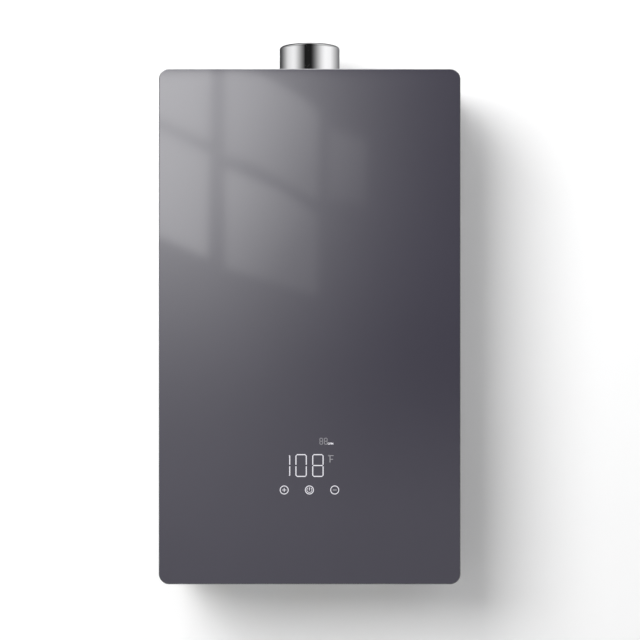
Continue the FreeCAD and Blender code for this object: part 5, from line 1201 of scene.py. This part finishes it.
@dataclass(frozen=True)
class Pane:
    """A patch of window light that the front mirrors, in pixels of the photograph.

    Its light is the glow that falls off from the upper left, and a lift that fades along a line.
    """

    name: str
    outline: tuple[Flat, ...]
    near: Flat = (0.0, 0.0)
    far: Flat = (1.0, 0.0)
    near_lift: float = 0.0
    far_lift: float = 0.0
    glow: float = 2.85
    glow_middle: Flat = (155.0, 60.0)
    glow_reach: Flat = (171.0, 268.0)
    ground: float = 0.25
    dark: float = 0.03
    top_rise: float = 0.15

    def material(self) -> bpy.types.Material:
        """Returns the light of the patch."""
        made, w = bare_material(self.name)
        across, _, up = w.axes(w.place())
        px = w.math("ADD", w.math("MULTIPLY", across, 1 / MIRRORED), PHOTO_MIDDLE[0])
        drop = w.math("ADD", up, MIRROR_DROP)
        py = w.math("SUBTRACT", PHOTO_MIDDLE[1], w.math("MULTIPLY", drop, 1 / MIRRORED))
        squares = []
        for place, middle, reach in zip((px, py), self.glow_middle, self.glow_reach):
            squares.append(w.math("POWER", w.math("ABSOLUTE", self.share(w, place, middle, reach)), 2.0))
        away = w.math("ADD", *squares)
        glow = w.math("MULTIPLY", w.math("EXPONENT", w.math("MULTIPLY", away, -1.0)), self.glow)
        ground = w.math("MULTIPLY", w.ramp(py, 330.0, 540.0), self.ground)
        run = [b - a for a, b in zip(self.near, self.far)]
        square = run[0] ** 2 + run[1] ** 2
        along = w.math("ADD", *(w.math("MULTIPLY", w.math("SUBTRACT", p, a), r / square)
                                for p, a, r in zip((px, py), self.near, run)), clamp=True)
        lift = w.between(along, self.near_lift, self.far_lift)
        plain = w.math("ADD", w.math("ADD", glow, ground), w.math("ADD", lift, self.dark))
        rise = w.inverse(w.ramp(py, 69.0, 93.0))
        level = w.math("MULTIPLY", plain, w.math("ADD", w.math("MULTIPLY", rise, self.top_rise), 1.0))
        w.shine({1: level})
        return made

    @staticmethod
    def share(w: Wiring, place: object, middle: float, reach: float) -> bpy.types.NodeSocket:
        """Returns how far a place is from a middle, as a share of a reach."""
        return w.math("DIVIDE", w.math("SUBTRACT", place, middle), reach)


GLOW = Pane("window_glow", ((-560, 660), (-560, 69.4), (700, 69.4), (700, 660)))
PANES = (
    Pane("pane_upper_left", ((150, 69.5), (212, 69.5), (210, 142), (150, 116)), (160, 80), (210, 110), 1.2, 1.0),
    Pane("pane_upper_middle", ((225, 69.5), (248, 70), (267, 79), (293, 92), (312, 105), (319, 113), (318, 201),
                               (252, 163), (225, 156)), (250, 95), (318, 165), 0.95, 0.35),
    Pane("pane_lower_left", ((150, 125), (210, 154), (208, 258), (150, 233)), (160, 200), (210, 190), 1.2, 1.0),
    Pane("pane_lower_middle", ((225, 168), (281, 191), (318, 215), (318, 296), (268, 281), (225, 268)),
         (230, 185), (305, 235), 0.95, 0.25),
    Pane("pane_right", ((329, 128), (366, 140), (366, 206), (329, 198)), (335, 150), (365, 195), 0.3, 0.16),
)


@dataclass(frozen=True)
class Flag:
    """A dimmer card beside the collar that only its mirror sees, darkest next to it."""

    name: str = "flag"
    near: float = 0.05
    foot: float = 0.335
    side_edge: float = 0.03
    start: Flat = (0.14, 0.4)
    rise: Flat = (0.8, 0.65)
    plain: float = 0.11
    reach: float = 0.25

    def material(self) -> bpy.types.Material:
        """Returns the card's light, which changes across it."""
        made, w = bare_material(self.name)
        across, _, up = w.axes(w.place())
        side = w.ramp(across, 0.0, self.side_edge)
        start, rise = (w.between(side, left, right) for left, right in (self.start, self.rise))
        off = w.math("MINIMUM", w.math("ABSOLUTE", across), 1.0)
        far = w.math("MAXIMUM", w.math("SUBTRACT", off, self.plain), 0.0)
        growth = w.math("DIVIDE", far, w.math("ADD", far, self.reach))
        level = w.math("ADD", start, w.math("MULTIPLY", growth, rise))
        away = w.math("ADD", w.math("ABSOLUTE", across), self.near)
        slope = w.math("DIVIDE", w.math("SUBTRACT", up, self.foot), away)
        dimmed = w.math("MULTIPLY", w.ramp(slope, 0.2, 0.4), 0.42)
        shade = w.mixed(w.ramp(slope, 1.0, 3.0), w.mixed(dimmed, level, BLACK), (0.42, 0.42, 0.42))
        w.shine({0: shade})
        return made


@dataclass(frozen=True)
class SoftBox:
    """A soft box at one side of the studio, as gloss sees it.

    Angles are in degrees from straight out of the wall, and the side is -1 for the left and 1 for the right.
    """

    side: float
    near: Flat
    far: Flat
    level: float

    def light(self, w: Wiring, turn: object) -> bpy.types.NodeSocket:
        """Returns the soft box's light in a direction, which rises over its near edge."""
        return w.math("MULTIPLY", w.ramp(w.math("MULTIPLY", turn, self.side), *self.near), self.level)

    def past(self, w: Wiring, turn: object) -> bpy.types.NodeSocket:
        """Returns the share of the plain surround in a direction, which rises over the far edge."""
        return w.ramp(w.math("MULTIPLY", turn, self.side), *self.far)


LEFT_BOX = SoftBox(-1.0, (11.0, 71.0), (48.0, 103.0), 1.04)
RIGHT_BOX = SoftBox(1.0, (3.0, 70.0), (23.0, 179.0), 1.14)
BLACK_CARD = (-19.7, -19.0)


@dataclass
class Room:
    """The white wall, the floor, the lamps, the window that the glass mirrors, the world and the camera."""

    wall_y: float = 0.0005
    wall_half: float = 2.5
    floor_z: float = -0.9
    floor_near: float = -3.6
    wall_top: float = 2.0
    opening: Flat = (0.168, 0.292)
    ear_opening: Flat = (0.1235, 0.3115)
    card_y: float = -2.65
    flag_y: float = -0.0015
    flag_outline: tuple[Flat, ...] = ((-6.0, 0.315), (6.0, 0.315), (6.0, 3.0), (-6.0, 3.0))
    key_way: Point = (-0.56, -1.0, 0.52)
    key_far: float = 2.8
    key_size: Flat = (1.7, 1.75)
    key_power: float = 75.0
    fill: float = 0.72
    gap_level: float = 0.014
    surround: float = 0.8
    camera_place: Point = (0.0, -2.107, 0.0076)
    lens: float = 95.0
    shift: float = 0.0162

    def build(self) -> None:
        """Makes everything round the object."""
        self.surfaces()
        self.cards()
        self.lamps()
        self.world()
        self.camera()

    def sheet(self, name: str, outlines: Iterable[Sequence[Vector]],
              material: bpy.types.Material) -> bpy.types.Object:
        """Returns a new object of flat faces for the room."""
        shape = bmesh.new()
        for outline in outlines:
            shape.faces.new([shape.verts.new(p) for p in outline])
        mesh = plain_mesh(shape, name)
        mesh.materials.append(material)
        made = on_scene(name, mesh)
        return made

    def surfaces(self) -> None:
        """Makes the wall, which is open behind the back plate and its ears, and the floor."""
        pale = (0.93, 0.93, 0.93)
        paint = Backdrop("wall_paint", pale, pale).material()
        (wide, tall), (ear_wide, ear_tall) = self.opening, self.ear_opening
        xs = (-self.wall_half, -wide, -ear_wide, ear_wide, wide, self.wall_half)
        zs = (self.floor_z, -ear_tall, -tall, tall, ear_tall, self.wall_top)
        tiles = [(i, j) for i in range(5) for j in range(5)
                 if not (j == 2 and i in (1, 2, 3)) and not (i == 2 and j in (1, 3))]
        corners = ((0, 0), (1, 0), (1, 1), (0, 1))
        self.sheet("wall", [[Vector((xs[i + a], self.wall_y, zs[j + b])) for a, b in corners] for i, j in tiles],
                   paint)
        floor = [(-self.wall_half, self.floor_near), (self.wall_half, self.floor_near),
                 (self.wall_half, self.wall_y), (-self.wall_half, self.wall_y)]
        matt = Backdrop("floor_paint", pale, (0.2, 0.2, 0.2)).material()
        self.sheet("floor", [[Vector((x, y, self.floor_z)) for x, y in floor]], matt)

    def cards(self) -> None:
        """Makes the window light and the flag that only gloss sees."""
        shown = []
        for pane, y in ((GLOW, self.card_y), *((pane, self.card_y + 0.01) for pane in PANES)):
            shown.append(self.sheet(pane.name, [[mirrored(p, y) for p in pane.outline]], pane.material()))
        flag = [Vector((x, self.flag_y, z)) for x, z in self.flag_outline]
        shown.append(self.sheet("flag", [flag], Flag().material()))
        for card in shown:
            card.visible_camera = False
            card.visible_diffuse = False
            card.visible_shadow = False
            card.visible_transmission = False

    def lamp(self, name: str, place: Vector, aim: Vector, size: Flat, power: float) -> None:
        """Adds a soft lamp of some width and height that gloss doesn't see."""
        light = bpy.data.lights.new(name, "AREA")
        light.shape = "RECTANGLE"
        light.size, light.size_y = size
        light.energy = power
        made = on_scene(name, light)
        made.location = place
        made.rotation_euler = (aim - place).to_track_quat("-Z", "Y").to_euler()
        made.visible_glossy = False

    def lamps(self) -> None:
        """Adds the main lamp at the upper left and a weaker one behind the wall."""
        middle = Vector((0.0, -0.07, 0.0))
        self.lamp("key", middle + Vector(self.key_way).normalized() * self.key_far, middle, self.key_size,
                  self.key_power)
        self.lamp("rear", Vector((0.8, 2.5, 1.2)), middle, (1.5, 1.5), 40.0)

    def world(self) -> None:
        """Makes a world that is white to the camera, grey to matt surfaces and a studio to gloss."""
        world = bpy.data.worlds.new("studio")
        bpy.context.scene.world = world
        world.use_nodes = True
        w = Wiring(world.node_tree)
        w.tree.nodes.clear()
        x, y, z = w.axes(w.add("ShaderNodeTexCoord").outputs["Generated"])
        turn = w.math("ARCTAN2", x, w.math("MULTIPLY", y, -1.0))
        degrees = w.math("DEGREES", turn)
        left = w.math("MULTIPLY", LEFT_BOX.light(w, degrees), w.inverse(w.ramp(degrees, *BLACK_CARD)))
        boxes = w.math("ADD", w.math("ADD", left, RIGHT_BOX.light(w, degrees)), self.gap_level)
        past = w.math("ADD", LEFT_BOX.past(w, degrees), RIGHT_BOX.past(w, degrees))
        band = w.between(past, boxes, self.surround)
        above = w.math("MULTIPLY", w.ramp(z, 0.17, 0.26), 0.42)
        studio = w.mixed(w.ramp(z, 0.98, 1.0), w.mixed(above, band, BLACK), (0.5, 0.5, 0.5))
        rays = w.add("ShaderNodeLightPath").outputs
        plain = w.add("ShaderNodeBackground", {0: (1, 1, 1, 1), 1: self.fill}).outputs[0]
        white = w.add("ShaderNodeBackground", {0: (1, 1, 1, 1), 1: 1.0}).outputs[0]
        glossy = w.add("ShaderNodeBackground", {0: studio, 1: 1.0}).outputs[0]
        seen = w.math("MAXIMUM", rays["Is Camera Ray"], rays["Is Transmission Ray"])
        matt = w.add("ShaderNodeMixShader", {0: seen, 1: plain, 2: white}).outputs[0]
        whole = w.add("ShaderNodeMixShader", {0: rays["Is Glossy Ray"], 1: matt, 2: glossy}).outputs[0]
        w.add("ShaderNodeOutputWorld", {0: whole})

    def camera(self) -> None:
        """Adds the camera, nearly level with the middle of the front, and the plain view transform."""
        data = bpy.data.cameras.new("camera")
        data.lens = self.lens
        data.sensor_width = 36.0
        data.shift_x = self.shift
        made = on_scene("camera", data)
        made.location = self.camera_place
        made.rotation_euler = (math.radians(90), 0.0, 0.0)
        bpy.context.scene.camera = made
        bpy.context.scene.view_settings.view_transform = "Standard"


def main() -> None:
    """Builds the room, then dresses the frame and adds its pieces."""
    logging.basicConfig(level=logging.INFO, format="%(name)s: %(message)s")
    Room().build()
    dress_nodes(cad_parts)
    Display().build()
    screws = Fasteners(copies_tree())
    screws.build("cover_screws", Body.COVER)
    screws.build("chassis_screws", Body.CHASSIS)
    Fittings(ridge_tree()).build()
    ValveSprings().build()


if __name__ == "__main__":
    main()
